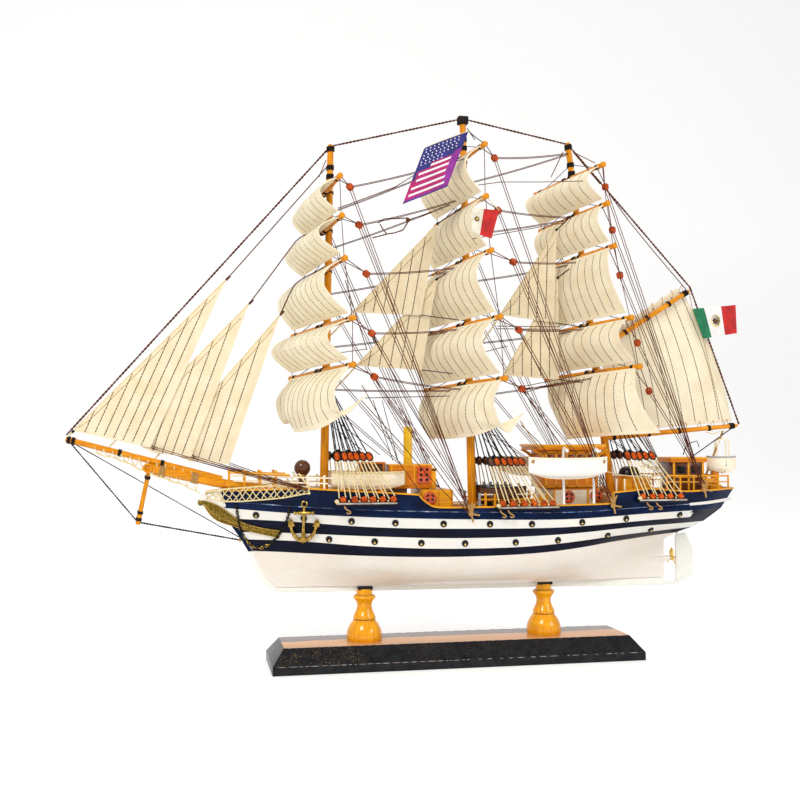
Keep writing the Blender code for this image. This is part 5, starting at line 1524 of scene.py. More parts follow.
def make_flag_lines():
    pile = Pile()
    left, corner = (on_plane(place, FLAG_MAIN_Y) for place in FLAG_MAIN[:2])
    hoist, low = on_plane(ENSIGN[0], ENSIGN_Y), on_plane(ENSIGN[3], ENSIGN_Y)
    rope(pile, corner, yard_end("main", 0, -1, -1.0), 0.4, 0, 6, 1.0, 8)
    rope(pile, left, corner, 0.35, 1, 6, -0.4, 8)
    for place, inset in zip(PENNANT, (2.0, 0.0)):
        rope(pile, on_plane(place, PENNANT_Y), yard_end("main", 1, -1, inset), 0.35, 1, 6, 0.5, 8)
    rope(pile, on_plane(GAFF[1]), hoist, 0.35, 2)
    tube(pile, [hoist, low, on_plane(BOOM[1]) - Vector((14.0, 0.0, 0.0))], 0.3, 6, 2)
    pile.piece("flag_lines", [THREAD_BLACK, THREAD_CREAM, THREAD_TAN], "rigging")


# Channels, blocks and shrouds

CHANNELS = {  # fore and aft end, top, outer edge, x of the shrouds' feet, height of the shrouds' tops
    "fore": ((-114.0, -60.0), 143.0, 43.5, (-107.0, -97.0, -89.0, -81.5, -73.0, -64.0), 246.0),
    "main": ((26.0, 83.0), 138.0, 45.6, (32.0, 41.0, 51.0, 60.0, 69.0, 77.0), 236.0),
    "mizzen": ((157.0, 204.0), 143.0, 44.0, (162.0, 171.0, 179.0, 188.0, 198.0), 248.0),
}
CHANNEL_THICKNESS = 3.0
DEADEYE_RADIUS = 3.0
UPPER_DEADEYE = 36.0                      # height of the upper blocks over the lower ones
DARK_BLOCKS = {"fore": (), "main": (0,), "mizzen": ()}   # numbers of the port shrouds with a dark block
KNOBBED_BLOCKS = {"fore": (2, 4), "main": (4,), "mizzen": (1, 3)}
CHANNEL_CURLS = {"fore": (-106.0,), "main": (29.0, 36.0), "mizzen": (165.0, 174.0)}   # x of the hooks
CURL = (  # hook under a channel's edge: x, y and z from its base
    (0.0, 0.0, 0.4), (0.6, 0.6, -1.6), (2.4, 0.9, -3.4), (4.6, 0.9, -4.4), (5.4, 0.7, -5.8), (3.8, 0.7, -6.4),
    (1.8, 0.7, -5.9),
)
CHANNEL_STEPS = 14
BLOCK_TAPER = ((0.0, 0.6), (0.07, 0.84), (0.28, 1.0), (0.72, 1.0), (0.93, 0.84), (1.0, 0.6))
BOARD_BLACK, SHROUD, RED_BLOCK, LANYARD, EDGE, DARK_BLOCK, HOOK = range(7)   # places in CHANNEL_PAINTS
CHANNEL_PAINTS = [BLACK, THREAD_BLACK, BLOCK_RED, THREAD_CREAM, EDGE_HIGHLIGHT_AND_WEAR, BROWN_WOOD, THREAD_TAN]


def across_of(along):
    """Direction square to a rope, in the plane of the ship's length."""
    return (Vector((1.0, 0.0, 0.0)) - along * along.x).normalized()


def wooden_block(pile, centre, along, radius, half, paint_index, strop=None):
    """Barrel-shaped wooden block, with a black strop round it when strop names its paint."""
    centre, along = Vector(centre), Vector(along).normalized()
    lathe(pile, centre - along * half, centre + along * half, tapered(radius, BLOCK_TAPER), 14, paint_index)
    if strop is not None:
        ring = circle(centre, across_of(along) * (radius + 0.35), along * (half + 0.5), 20)
        tube(pile, ring, 0.85, 6, strop, loop=True)


def channel_board(pile, x0, x1, z, outer, side):
    """Board from the hull's side out to its edge, with a pale strip along the edge: a painted highlight on
    the lit upper edge, partly worn paint.
    """
    points, edge, low = [], 0.5, z - CHANNEL_THICKNESS
    for i in range(CHANNEL_STEPS + 1):
        x = x0 + (x1 - x0) * i / CHANNEL_STEPS
        inner = half_breadth(x, z - 1.5) - 0.3
        points += [(x, side * y, h) for y, h in (
            (inner, low), (outer - edge, low), (outer, low + edge), (outer, z - edge), (outer - edge, z),
            (inner, z), (inner, z - 1.0), (inner, z - 2.0))]
    skin(pile, points, 8, BOARD_BLACK)
    # pale strip: painted highlight along the lit upper edge, partly worn paint
    strip = sorted((side * (outer - 0.4), side * (outer + 0.25)))
    block(pile, (x0 + 1.0, x1 - 1.0), strip, (z - 1.7, z - 0.3), 0.12, EDGE)


def shroud(pile, foot, top, dark, knobbed):
    """Shroud from the mast down to its two blocks and the lanyards between them."""
    upper = foot.lerp(top, UPPER_DEADEYE / (top.z - foot.z))
    along = (top - foot).normalized()
    across = across_of(along)
    wooden_block(pile, foot, along, 2.75, 2.5, RED_BLOCK)
    wooden_block(pile, upper, along, 2.3, 3.3, DARK_BLOCK if dark else RED_BLOCK, SHROUD)
    if knobbed:
        ball(pile, upper + along * 4.6 - across * 1.6, 2.2, 10, SHROUD)
    for start, end in ((-1.2, -3.0), (1.2, 2.6)):
        rope(pile, upper - along * 3.0 + across * start, foot + across * end + along * 1.6, 0.52, LANYARD)
    twisted(pile, upper + along * 3.4, top, 0.42, 4.0, SHROUD)


def make_channel(mast, side_name, side):
    (x0, x1), z, outer, feet, top_z = CHANNELS[mast]
    pile = Pile()
    channel_board(pile, x0, x1, z, outer, side)
    mast_x, mast_radius = mast_point(mast, top_z)
    top = Vector((mast_x, side * (mast_radius + 1.8), top_z))
    coil(pile, (mast_x, 0.0, top_z), UP, mast_radius + 0.7, 0.55, 4, SHROUD)
    ball(pile, top, 1.5, 8, SHROUD)
    for number, x in enumerate(feet):
        foot = Vector((x, side * (outer - 2.6), z + DEADEYE_RADIUS * 0.7))
        # every starboard upper block is dark brown: painted shade for the far, shaded side; the port ones
        # listed in DARK_BLOCKS are dark blocks
        dark = side > 0 or number in DARK_BLOCKS[mast]
        shroud(pile, foot, top, dark, number in KNOBBED_BLOCKS[mast])
    for x, after in zip(feet, feet[1:]):
        ball(pile, ((x + after) / 2, side * (outer - 1.9), z + 0.8), 0.95, 8, LANYARD)
    ball(pile, (x0 + 1.6, side * (outer - 1.2), z + 0.6), 2.0, 12, LANYARD)
    for x in CHANNEL_CURLS[mast]:
        base = Vector((x, side * (outer - 1.6), z - CHANNEL_THICKNESS))
        tube(pile, [base + Vector((dx, side * dy, dz)) for dx, dy, dz in CURL], 0.65, 6, HOOK)
    pile.piece(f"channel_{mast}_{side_name}_dressed", CHANNEL_PAINTS, "rigging",
               stands_for=(f"channel_{mast}_{side_name}",))


# Running rigging

BEAD_Y = 46.0
BEADS = {  # x, z of the port beads, from the top yard down
    "fore": ((-102.4, 408.8), (-94.6, 376.8), (-88.3, 335.5), (-83.6, 285.2), (-81.3, 248.5)),
    "main": ((24.5, 440.2), (27.5, 394.4), (40.9, 349.9), (46.0, 290.7), (48.5, 239.5)),
    "mizzen": ((126.5, 419.8), (132.8, 381.5), (139.6, 341.4), (155.7, 281.6), (166.4, 238.8)),
}
BEAD_TARGETS = {  # height at which the brace from each bead ends on the next mast aft
    "fore": (449.7, 413.9, 351.6, 295.7, 240.4),
    "main": (460.4, 400.8, 360.0, 298.1, 253.3),
}
BUNDLES = {  # x, z on the hull's side where each mast's lines are gathered
    "fore": (4.0, 131.8), "main": (134.0, 137.4), "mizzen": (224.5, 150.4),
}
BEAD_RADIUS = 3.1
BROWN, BLACK_LINE, CREAM_LINE, TAN_LINE = range(4)  # places in LINE_PAINTS
LINE_PAINTS = [THREAD_BROWN, THREAD_BLACK, THREAD_CREAM, THREAD_TAN]
LOOSE_LINES = (  # paint, radius, y, then x, z along the line
    (BROWN, 0.38, -46.0, ((-112.5, 390.4), (-100.6, 395.2), (-63.7, 410.6), (-41.0, 425.5), (3.0, 440.0))),
    (BROWN, 0.34, -46.0, ((-112.3, 268.1), (-87.7, 271.9))),
    (BROWN, 0.34, -46.0, ((9.6, 415.8), (29.4, 419.4), (65.8, 421.2), (106.0, 424.0))),
    (BROWN, 0.34, -46.0, ((4.1, 368.6), (29.2, 373.9), (86.8, 385.9))),
    (BROWN, 0.34, -46.0, ((14.5, 271.0), (36.0, 276.6))),
    (BROWN, 0.38, -46.0, ((96.5, 449.4), (117.0, 440.7))),
    (BROWN, 0.38, -46.0, ((96.5, 449.4), (121.6, 422.1))),
    (BROWN, 0.38, -44.0, ((46.7, 290.9), (67.4, 252.0), (88.3, 208.4), (102.0, 190.9))),
    (BROWN, 0.50, -42.0, ((49.8, 239.7), (84.3, 191.8))),
    (BLACK_LINE, 0.38, -42.0, ((-82.9, 285.6), (-65.4, 253.0), (-54.2, 231.0), (-23.6, 182.5))),
    (BROWN, 0.38, -42.0, ((-80.6, 248.8), (-66.3, 226.7), (-32.4, 180.0))),
    (BLACK_LINE, 0.30, -40.0, ((-73.7, 229.2), (-59.8, 177.5))),
    (BLACK_LINE, 0.30, -40.0, ((-81.4, 229.2), (-64.2, 177.5))),
    (BLACK_LINE, 0.30, -40.0, ((-91.7, 229.1), (-55.5, 190.2), (-32.0, 162.9))),
    (BROWN, 0.38, -41.5, ((-69.4, 229.3), (-14.4, 153.3), (1.5, 131.8))),
    (BLACK_LINE, 0.30, -36.0, ((-82.4, 209.7), (-66.0, 185.1))),
    (BROWN, 0.38, -20.0, ((-102.6, 333.7), (-83.3, 273.3))),
    (BROWN, 0.38, -30.0, ((-89.3, 242.3), (-70.1, 208.2), (-57.8, 177.3), (-38.5, 150.5))),
    (BROWN, 0.38, -34.0, ((-90.8, 229.3), (-54.3, 190.2), (-30.6, 162.6), (-11.1, 143.6))),
    (BLACK_LINE, 0.36, -40.0, ((-88.3, 230.8), (-15.1, 233.1))),
    (BLACK_LINE, 0.36, -30.0, ((-115.9, 208.0), (-89.2, 186.8))),
    (BLACK_LINE, 0.36, -30.0, ((-109.9, 210.6), (-73.6, 182.5))),
    (BLACK_LINE, 0.36, -30.0, ((18.8, 197.1), (44.2, 172.5))),
    (BLACK_LINE, 0.36, -30.0, ((52.6, 208.5), (69.2, 193.5), (88.6, 168.7))),
    (BROWN, 0.36, -40.0, ((28.0, 294.4), (85.7, 294.8))),
    (BROWN, 0.36, -40.0, ((28.0, 292.0), (85.7, 292.8))),
    (BROWN, 0.36, -45.0, ((51.6, 242.1), (79.9, 247.7), (127.0, 257.0))),
    (BROWN, 0.36, -45.0, ((52.5, 236.9), (81.7, 245.1))),
    (BROWN, 0.42, 0.0, ((148.2, 426.9), (168.0, 401.4), (194.8, 371.2), (226.0, 337.5))),
    (BROWN, 0.42, 0.0, ((-116.9, 443.1), (-123.1, 427.6))),
    (BROWN, 0.42, 0.0, ((12.2, 479.4), (19.7, 468.7))),
    (BROWN, 0.42, 0.0, ((104.2, 462.3), (92.4, 438.3))),
    (BLACK_LINE, 0.55, 0.0, ((271.5, 206.7), (232.3, 180.9))),
    (TAN_LINE, 0.55, -0.8, ((261.2, 204.0), (239.1, 153.0), (231.0, 148.6))),
    (TAN_LINE, 0.55, 0.8, ((263.0, 204.0), (241.5, 153.0), (232.0, 148.6))),
    (CREAM_LINE, 0.50, -2.6, ((243.0, 203.0), (251.0, 201.0), (259.0, 203.8))),
    (CREAM_LINE, 0.60, -16.0,
     ((135.7, 167.2), (151.1, 163.5), (175.5, 160.6), (194.2, 164.1), (185.4, 170.6), (170.7, 171.5))),
    (TAN_LINE, 0.50, -30.0, ((70.0, 188.5), (60.0, 200.0), (52.0, 212.0))),
    (BLACK_LINE, 0.45, -8.0,
     ((217.2, 181.4), (219.5, 188.0), (224.3, 192.5), (231.4, 194.4), (233.4, 188.8))),
)
ROPE_EYE_Y = -38.0
ROPE_EYE = (  # x and z round the eye of twisted rope before the main sails
    (-76.9, 380.8), (-71.7, 384.5), (-60.3, 385.4), (-50.7, 386.2), (-50.7, 382.8), (-55.1, 375.6),
    (-62.9, 372.7), (-69.1, 371.6), (-76.9, 369.2), (-82.1, 367.7),
)
ROPE_EYE_STRAP = ((-75.2, 380.0), (-72.5, 375.4), (-69.1, 371.6))
ROPE_EYE_TAIL = ((-50.7, 384.5), (-30.0, 392.0))
JIB_SHEET_END = (-137.0, 154.0, 30.0)     # x, z and y to either side


def bead_place(mast, number, side):
    """Centre of a brace's bead: the starboard ones hang from their yard as the port ones do."""
    x, z = BEADS[mast][number]
    port = Vector((x, -BEAD_Y, z))
    if side < 0:
        return port
    hang = port - yard_end(mast, number, -1.0, 0.0)
    return yard_end(mast, number, 1.0, 0.0) + Vector((hang.x, -hang.y, hang.z))


def make_brace(lines, beads, mast, number, side, foot):
    """Bead below a yard's end, its lines down to the hull and aft, and the yard's own two lines."""
    end = yard_end(mast, number, side, 0.0)
    bead = bead_place(mast, number, side)
    hang = (bead - end).normalized()
    wooden_block(beads, bead, hang, BEAD_RADIUS, BEAD_RADIUS * 0.95, 0)
    tube(beads, [bead - hang * 3.4, bead + hang * 3.4], 0.9, 8, 1)
    for near, share in ((end, -0.5), (yard_end(mast, number, side, 9.0), 0.5)):
        rope(lines, near, bead + Vector((share, 0.0, 0.6)), 0.38, BROWN)
    for share in (-1.0, 1.0):
        start = bead + Vector((share * 0.9, 0.0, share * 0.5))
        gather = Vector((share * 1.2 + (number - 2) * 0.8, side * 0.2, 0.6 * abs(number - 2) + 1.4))
        path = [point + Vector((0.0, side * 3.0 * math.sin(math.pi * k / 10), 0.0))
                for k, point in enumerate(sagging(start, foot + gather, 0.0, 10))]
        tube(lines, path, 0.36, 5, BROWN)
    if mast in NEXT_MAST:
        target_z = BEAD_TARGETS[mast][number]
        mast_x, mast_radius = mast_point(NEXT_MAST[mast], target_z)
        target = Vector((mast_x - mast_radius * 0.6, side * mast_radius * 0.8, target_z))
        for shift in (-0.5, 0.5):
            rope(lines, bead + Vector((1.0, 0.0, shift)), target + UP * shift, 0.36, BROWN, 5, 1.5, 8)
    if number < 4:
        rope(lines, yard_end(mast, number, side, 1.5), yard_end(mast, number + 1, side, 2.0), 0.34, BROWN, 5)
    lift_z = YARDS[mast][number][0] + 14.0
    mast_x, mast_radius = mast_point(mast, lift_z)
    rope(lines, yard_end(mast, number, side, 10.0), (mast_x, side * mast_radius * 0.7, lift_z), 0.34,
         BLACK_LINE, 5)


def make_bundle(lines, mast, side):
    """Knot at the hull's side that gathers a mast's lines, with its ends; gives the place of the knot."""
    foot, outward = side_point(*BUNDLES[mast], side, 1.4)
    knot = foot + outward * 0.6
    ball(lines, knot, 2.4, 12, TAN_LINE)
    for k in range(7):
        over = foot + Vector(((k - 3) * 1.3, side * 0.6, 9.0 + 1.2 * math.sin(k * 2.1)))
        rope(lines, over, knot, 0.55, TAN_LINE, 5)
    coil(lines, knot + UP * 2.2, UP, 1.7, 0.6, 3, TAN_LINE)
    for dx, dz in ((7.5, -1.2), (1.6, -7.0)):
        tail = [knot, knot + Vector((dx * 0.5, side, dz * 0.5)), knot + Vector((dx, side * 0.6, dz))]
        tube(lines, tail, 0.8, 6, TAN_LINE)
    return foot


def make_jib_sheets(lines, side):
    end_x, end_z, end_y = JIB_SHEET_END
    for rank, (_, _, _, clew, _, y, _) in enumerate(JIBS.values()):
        for shift in (-0.8, 0.8):
            end = Vector((end_x + 2.0 - 2.4 * rank, side * end_y, end_z + shift + 1.1 * (rank - 1)))
            rope(lines, on_plane(clew, y) + UP * (0.6 + shift), end, 0.33, BROWN, 5, 0.8, 10)


def make_loose_lines():
    loose = Pile()
    for paint_index, radius, y, points in LOOSE_LINES:
        tube(loose, [on_plane(point, y) for point in points], radius, 6, paint_index)
    eye, strap, tail = ([on_plane(point, ROPE_EYE_Y) for point in points]
                        for points in (ROPE_EYE, ROPE_EYE_STRAP, ROPE_EYE_TAIL))
    for before, after in zip(eye, eye[1:]):
        twisted(loose, before, after, 0.42, 3.0, BROWN)
    tube(loose, strap, 0.5, 6, BROWN)
    ball(loose, tail[0], 2.0, 10, BROWN)
    tube(loose, tail, 0.45, 6, BROWN)
    loose.piece("loose_lines", LINE_PAINTS, "rigging")


def make_running_rigging():
    for side, side_name in SIDES.items():
        lines, beads = Pile(), Pile()
        for mast in MASTS:
            foot = make_bundle(lines, mast, side)
            for number in range(5):
                make_brace(lines, beads, mast, number, side, foot)
        make_jib_sheets(lines, side)
        lines.piece("running_rigging_" + side_name, LINE_PAINTS, "rigging")
        beads.piece("brace_beads_" + side_name, [BEAD_RED, BLACK], "brown_varnish")
    make_loose_lines()


# Boats

BOATS = {  # x, y, z, length, breadth, depth
    "longboat_port": (-82.0, -19.5, 151.8, 64.0, 15.0, 16.0),
    "longboat_starboard": (-82.0, 19.5, 151.8, 64.0, 15.0, 16.0),
    "waist_boat_port": (39.5, -20.0, 140.0, 42.0, 15.0, 14.0),
    "waist_boat_starboard": (39.5, 20.0, 140.0, 42.0, 15.0, 14.0),
    "boat_port": (90.0, -46.5, 162.0, 72.0, 17.0, 18.0),
    "boat_starboard": (90.0, 46.5, 162.0, 72.0, 17.0, 18.0),
    "stern_boat": (260.0, 0.0, 164.0, 30.0, 17.0, 16.0),
}
DAVIT_X = (89.0, 117.0)                   # of the two davits of each boat beside the wheelhouse
DAVIT_TOP = 188.0
BOAT_STRAKES = 4
BOAT_ROWS = BOAT_STRAKES * 3
BOAT_STATIONS = 41
# band round the stern boat: share of its breadth, share of its depth (0 for its own foot)
STERN_RIB = ((-0.46, 0.9), (-0.5, 0.5), (-0.3, 0.0), (0.0, 0.0), (0.3, 0.0), (0.5, 0.5), (0.46, 0.9))
STERN_DAVIT = (  # x and z along each davit of the stern boat
    (254.0, 178.0), (255.5, 193.4), (257.0, 195.6), (260.9, 196.3), (265.2, 195.6), (266.6, 193.4),
    (266.4, 178.0),
)


def boat_side(t, breadth, depth, lapped):
    """Half-breadths and heights up a boat's side at t, -1..1 along it, with its breadth and rise there."""
    plan = max(1 - abs(t) ** 2.4, 0.06)
    rise, half = depth * 0.30 * abs(t) ** 3, breadth / 2 * plan
    section = ((0.0, rise), (0.62, rise + depth * 0.10), (0.95, rise + depth * 0.42),
               (1.0, depth * 0.95 + rise * 0.15))
    points = []
    for k in range(BOAT_ROWS + 1):
        lap = lapped and k % 3 == 0 and 0 < k < BOAT_ROWS
        out, height = curve_through(section, min(k / BOAT_ROWS + 0.05 * lap, 1.0))
        points.append((half * out + 0.34 * plan * lap, height))
    return points, half, rise


def boat_shape(pile, boat, lapped):
    """Boat with planks, a crowned cover and a rounded rail."""
    x, y, z, length, breadth, depth = boat
    points, rails = [], {1.0: [], -1.0: []}
    for i in range(BOAT_STATIONS):
        t = -math.cos(math.pi * i / (BOAT_STATIONS - 1))
        side, half, rise = boat_side(t, breadth, depth, lapped)
        at, (edge, edge_z) = x + t * length / 2, side[-1]
        for sign, rail in rails.items():
            rail.append((at, y + sign * edge, z + edge_z))
        top = depth + rise * 0.15
        cover = ((0.8, edge_z - 0.2), (0.45, (edge_z + top) / 2))
        ring = side[1:] + [(half * out, height) for out, height in cover]
        ring += [(0.0, top)] + [(-out, height) for out, height in ring[::-1]] + [(0.0, side[0][1])]
        points += [(at, y + out, z + height) for out, height in ring]
    skin(pile, points, len(points) // BOAT_STATIONS)
    for rail in rails.values():
        tube(pile, rail, 0.75, 8, 1)


def fit_waist_boat(pile, boat):
    x, y, z = boat[:3]
    block(pile, (x - 10.0, x + 10.0), (y - 3.0, y + 3.0), (133.4, z + 4.0), 0.5, 1)
    for k in range(5):
        at = x - 14.0 + 7.0 * k
        tube(pile, [(at, y, z + 12.0), (at, y, z + 17.0)], 1.1, 10, 2)


def fit_longboat(pile, boat):
    x, y, z, _, _, depth = boat
    deck = line_value(RAIL_LINE, x + 12.0, 2)
    for a, b in ((-14.0, -8.0), (8.0, 14.0)):
        block(pile, (x + a, x + b), (y - 3.0, y + 3.0), (deck, z + 4.0), 0.5, 2)
    for k in range(5):
        at = x - 24.0 + 12.0 * k
        block(pile, (at - 1.2, at + 1.2), (y - 5.6, y + 5.6), (z + depth - 1.6, z + depth + 0.3), 0.3, 1)


def fit_davit_boat(pile, boat):
    x, y, z, length, _, depth = boat
    out = Vector((0.0, math.copysign(1.0, y), 0.0))
    for at in DAVIT_X:
        foot = Vector((at, 0.0, line_value(RAIL_LINE, at, 1))) + out * 38.0
        knee = Vector((at, 0.0, DAVIT_TOP - 2.0)) + out * 37.2
        head = Vector((at, y, DAVIT_TOP - 2.0))
        arch = [foot, foot.lerp(knee, 0.9), knee + out * 0.6 + UP * 1.6, knee + out * 2.6 + UP * 2.4, head]
        tube(pile, arch, 1.2, 10, 2)
        ball(pile, head, 1.8, 10, 2)
        tube(pile, [head, (at, y, z + depth - 1.0)], 0.8, 8, 3)
    for share in (0.02, 0.9):
        at = x - length / 2 + length * share
        coil(pile, (at + 3.0, y, z + depth * 0.8), (0.25, 0.0, 1.0), 2.2, 0.5, 3, 3)
    keel = [(x + (length / 2 - 3) * t, y, z + depth * 0.30 * abs(t) ** 3 - 0.2)
            for t in np.linspace(-1.0, 1.0, 13)]
    tube(pile, keel, 0.7, 6, 1)


def fit_stern_boat(pile, boat):
    x, y, z, _, breadth, depth = boat
    block(pile, (x - 10.0, x - 4.0), (y - 3.0, y + 3.0), (147.6, z + 4.0), 0.5, 2)
    feet = {0.0: -0.2, 0.3: 1.5}
    rib = [(x + 0.6, y + breadth * out, z + (depth * up or feet[abs(out)])) for out, up in STERN_RIB]
    tube(pile, rib, 0.5, 6, 1)
    for at_y in (-3.0, 3.0):
        tube(pile, [on_plane(place, at_y) for place in STERN_DAVIT], 0.75, 8, 3)


BOAT_KINDS = {  # first word of the name: fittings, materials, slot
    "longboat": (fit_longboat, [CREAM, THREAD_CREAM, HOUSE_WOOD], "cream_paint"),
    "waist": (fit_waist_boat, [BROWN_WOOD, BLACK, GREY], "cream_paint"),
    "boat": (fit_davit_boat, [WHITE_GLOSS, CREAM, WHITE_GLOSS, THREAD_TAN], "white_gloss"),
    "stern": (fit_stern_boat, [CREAM, GREY, HOUSE_WOOD, CREAM], "cream_paint"),
}


def make_boats():
    for name, boat in BOATS.items():
        fit, materials, slot = BOAT_KINDS[name.split("_")[0]]
        pile = Pile()
        boat_shape(pile, boat, lapped=fit is not fit_davit_boat)
        fit(pile, boat)
        pile.piece(name + "_planked", materials, slot, stands_for=(name,))


# Houses and deck fittings

FUNNEL = (-43.0, 3.9, 207.0)              # x, radius, top
BALL = (-137.0, 171.0, 7.2)               # of the capstan: x, z, radius
DOME = ((167.2, 161.0), (10.75, 9.5, 10.0))   # of the poop house: x and z of its middle, half axes
DOME_RINGS = 12
WOOD, DARK, BUTTON, PALE, HOLE, GLOW, FUNNEL_PAINT = range(7)   # places in HOUSE_PAINTS
HOUSE_PAINTS = [HOUSE_WOOD, BROWN_WOOD, ORANGE_BUTTON, CREAM, BLACK, RAIL_WOOD, YELLOW]
# Of each house: blocks over the middle (x, half breadth, z, bevel, paint), blocks on each side (x, y, z,
# bevel, paint), strips on each side (their x, y, z, paint, half width, thickness) and round ports (x, y, z,
# radius)
HOUSES = {
    "deckhouse_fore": (
        (((-62.0, -24.0), 14.0, (152.7, 173.2), 0.6, WOOD), ((-62.4, -23.6), 14.4, (172.6, 174.0), 0.5, GLOW),
         ((-60.0, -46.0), 12.0, (147.2, 153.2), 0.4, DARK)),
        (((-37.6, -26.0), (13.8, 16.0), (157.2, 172.0), 0.8, BUTTON),
         ((-24.2, -20.4), (9.5, 14.0), (152.5, 171.0), 0.7, GLOW),
         ((-24.4, -20.2), (9.3, 14.2), (168.2, 169.8), 0.3, HOLE)),
        ((-60.4, -48.0, -40.0), 13.9, (153.5, 172.8), GLOW, 0.7, 0.5), ()),
    "step_house": (
        (((-35.0, -8.0), 26.0, (133.6, 152.2), 0.7, GLOW),
         *(((-34.4 + 4.4 * k, -34.0 + 4.4 * k), 25.6, (151.9, 152.35), 0.0, DARK) for k in range(6))),
        (), ((-21.0, -9.2), 25.9, (134.0, 151.6), WOOD, 0.6, 0.5), ((-28.9, 26.0, 144.9, 5.9),)),
    "galley_box": (
        (((-88.0, -65.0), 8.5, (148.6, 175.2), 0.8, DARK), ((-88.6, -64.4), 9.1, (174.6, 176.0), 0.5, WOOD)),
        (), ((-86.6, -76.5, -66.4), 8.4, (149.0, 174.8), WOOD, 0.7, 0.4), ()),
    "midship_house": (
        (((84.0, 128.0), 24.0, (133.8, 151.4), 0.5, PALE), ((83.6, 128.4), 24.4, (150.8, 152.0), 0.4, WOOD)),
        (((84.2, 127.8), (23.9, 24.5), (134.0, 136.2), 0.3, GLOW),),
        ((85.2, 117.0, 126.8), 23.9, (134.0, 151.0), GLOW, 1.0, 0.6),
        ((98.6, 24.0, 144.6, 5.7), (124.6, 24.4, 145.2, 5.4))),
    "wheelhouse": (
        (((78.0, 129.0), 19.0, (152.3, 186.4), 0.6, WOOD), ((70.5, 133.0), 24.6, (186.2, 190.0), 0.9, WOOD),
         ((69.5, 134.0), 25.0, (188.6, 191.2), 1.0, GLOW)),
        (*(((78.4, 128.6), (18.9, 19.6), (z - 0.9, z + 0.9), 0.3, GLOW) for z in (153.6, 170.0, 184.6)),
         # dark panes in the windows: painted shade inside the window openings
         *(((81.0 + 9.6 * k, 87.4 + 9.6 * k), (18.8, 19.25), (173.0, 182.0), 0.3, DARK) for k in range(5))),
        ((79.4, 89.0, 98.6, 108.2, 117.8, 127.6), 18.9, (153.0, 186.0), GLOW, 0.9, 0.7), ()),
    "poop_house": (
        (((155.0, 183.0), 13.0, (148.0, 162.0), 0.8, GLOW),
         ((154.6, 183.4), 13.4, (160.6, 162.0), 0.5, WOOD)),
        (), ((156.4, 165.0, 173.4, 181.6), 12.9, (148.4, 160.8), WOOD, 0.8, 0.5), ()),
    "stern_house": (
        (((204.0, 236.0), 13.0, (147.0, 175.0), 0.7, DARK), ((202.0, 238.0), 15.0, (174.6, 178.2), 0.7, WOOD),
         ((201.6, 238.4), 15.3, (177.6, 179.5), 0.7, GLOW)),
        (((204.4, 235.6), (12.9, 13.5), (160.4, 162.2), 0.3, GLOW),
         *(((x - 4.2, x + 4.2), (12.9, 13.3), (164.5, 171.5), 0.3, HOLE) for x in (212.7, 227.2))),
        ((205.4, 220.0, 234.4), 12.9, (148.0, 174.8), GLOW, 1.0, 0.6), ()),
}
RAIL_PAINTS = [RAIL_WOOD, CREAM, GREY]
RAILS = (  # fore and aft end, inset from the side, height, fall, legs, radius, paint
    ((-200.0, -150.0), 3.4, 167.5, 2.0, 20, 1.0, 0), ((-200.0, -106.0), 3.4, 164.6, 2.0, 20, 0.7, 1),
    ((-196.0, -118.0), 3.4, 160.2, 2.0, 20, 0.7, 1), ((16.0, 80.0), 14.0, 143.0, 0.0, 1, 0.8, 0),
    ((16.0, 80.0), 14.0, 147.4, 0.0, 1, 0.6, 1), ((190.0, 260.0), 5.0, 163.0, 1.0, 14, 0.8, 0),
    ((190.0, 260.0), 5.0, 157.5, 1.0, 14, 0.6, 0),
)
FORE_POST = [1.15, 0.9]                   # radius at the foot and the top; these posts have balls
WAIST_DECK = 133.2
POSTS = (  # x of the posts, inset, height of the top, radius, paint
    ((-200.0, -187.0, -174.0, -161.0), 3.4, 167.8, FORE_POST, 0),
    ((-148.0, -135.0, -121.0, -106.5), 3.4, 163.6, FORE_POST, 1), ((16.0,), 14.0, 149.0, 1.2, 2),
    ((21.5, 30.0, 66.0, 72.0, 78.0), 14.0, 149.0, 1.2, 0),
    ((190.0, 204.0, 218.0, 232.0, 246.0, 260.0), 5.0, 162.8, 0.9, 0),
    ((142.0, 150.0, 186.0), 9.0, 160.5, 0.8, 1),
)
DECK_LOGS = (  # start, end, profile and number of sides of the drum at the stern and the bowsprit's butt
    ((231.0, -16.5, 157.6), (245.0, -16.5, 157.2), ((0.0, 2.0), (0.04, 2.8), (0.96, 2.8), (1.0, 2.0)), 16),
    ((-213.0, 0.0, 159.0), (-168.0, 0.0, 153.6), ((0.0, 3.6), (0.5, 3.8), (0.97, 3.4), (1.0, 2.4)), 18),
)
DECK_BOXES = (((244.0, 256.0), 9.0, (147.0, 153.6)), ((-190.0, -150.0), 7.0, (149.0, 154.0)))
ROPE_COILS = (  # x, y
    (26.0, 8.0), (60.0, -4.0), (-150.0, -10.0), (-150.0, 10.0), (142.0, 14.0), (192.0, -12.0), (192.0, 12.0),
    (250.0, 6.0),
)


def round_button(pile, centre, side, radius):
    """Round orange port with two round holes and two curved ones, on a wall that faces side."""
    x, y, z = centre
    disc(pile, (x, y - side * 0.4, z), side, 1.9,
         ((0.0, radius), (0.7, radius), (0.92, radius * 0.94), (1.0, radius * 0.84)), 32, BUTTON)
    # the holes are black discs and arcs standing out from the port: painted shade for the holes
    for mirror in (-1.0, 1.0):
        disc(pile, (x + mirror * 2.0, y + side, z - 1.4), side, 0.62, ((0.0, 1.15), (1.0, 1.15)), 12, HOLE)
        turns = [math.radians(18.0 + 52.0 * k / 5) for k in range(6)]
        path = [(x + mirror * 3.1 * math.cos(a), y + side * 1.35, z + 0.2 + 3.1 * math.sin(a)) for a in turns]
        tube(pile, path, 0.85, 6, HOLE)


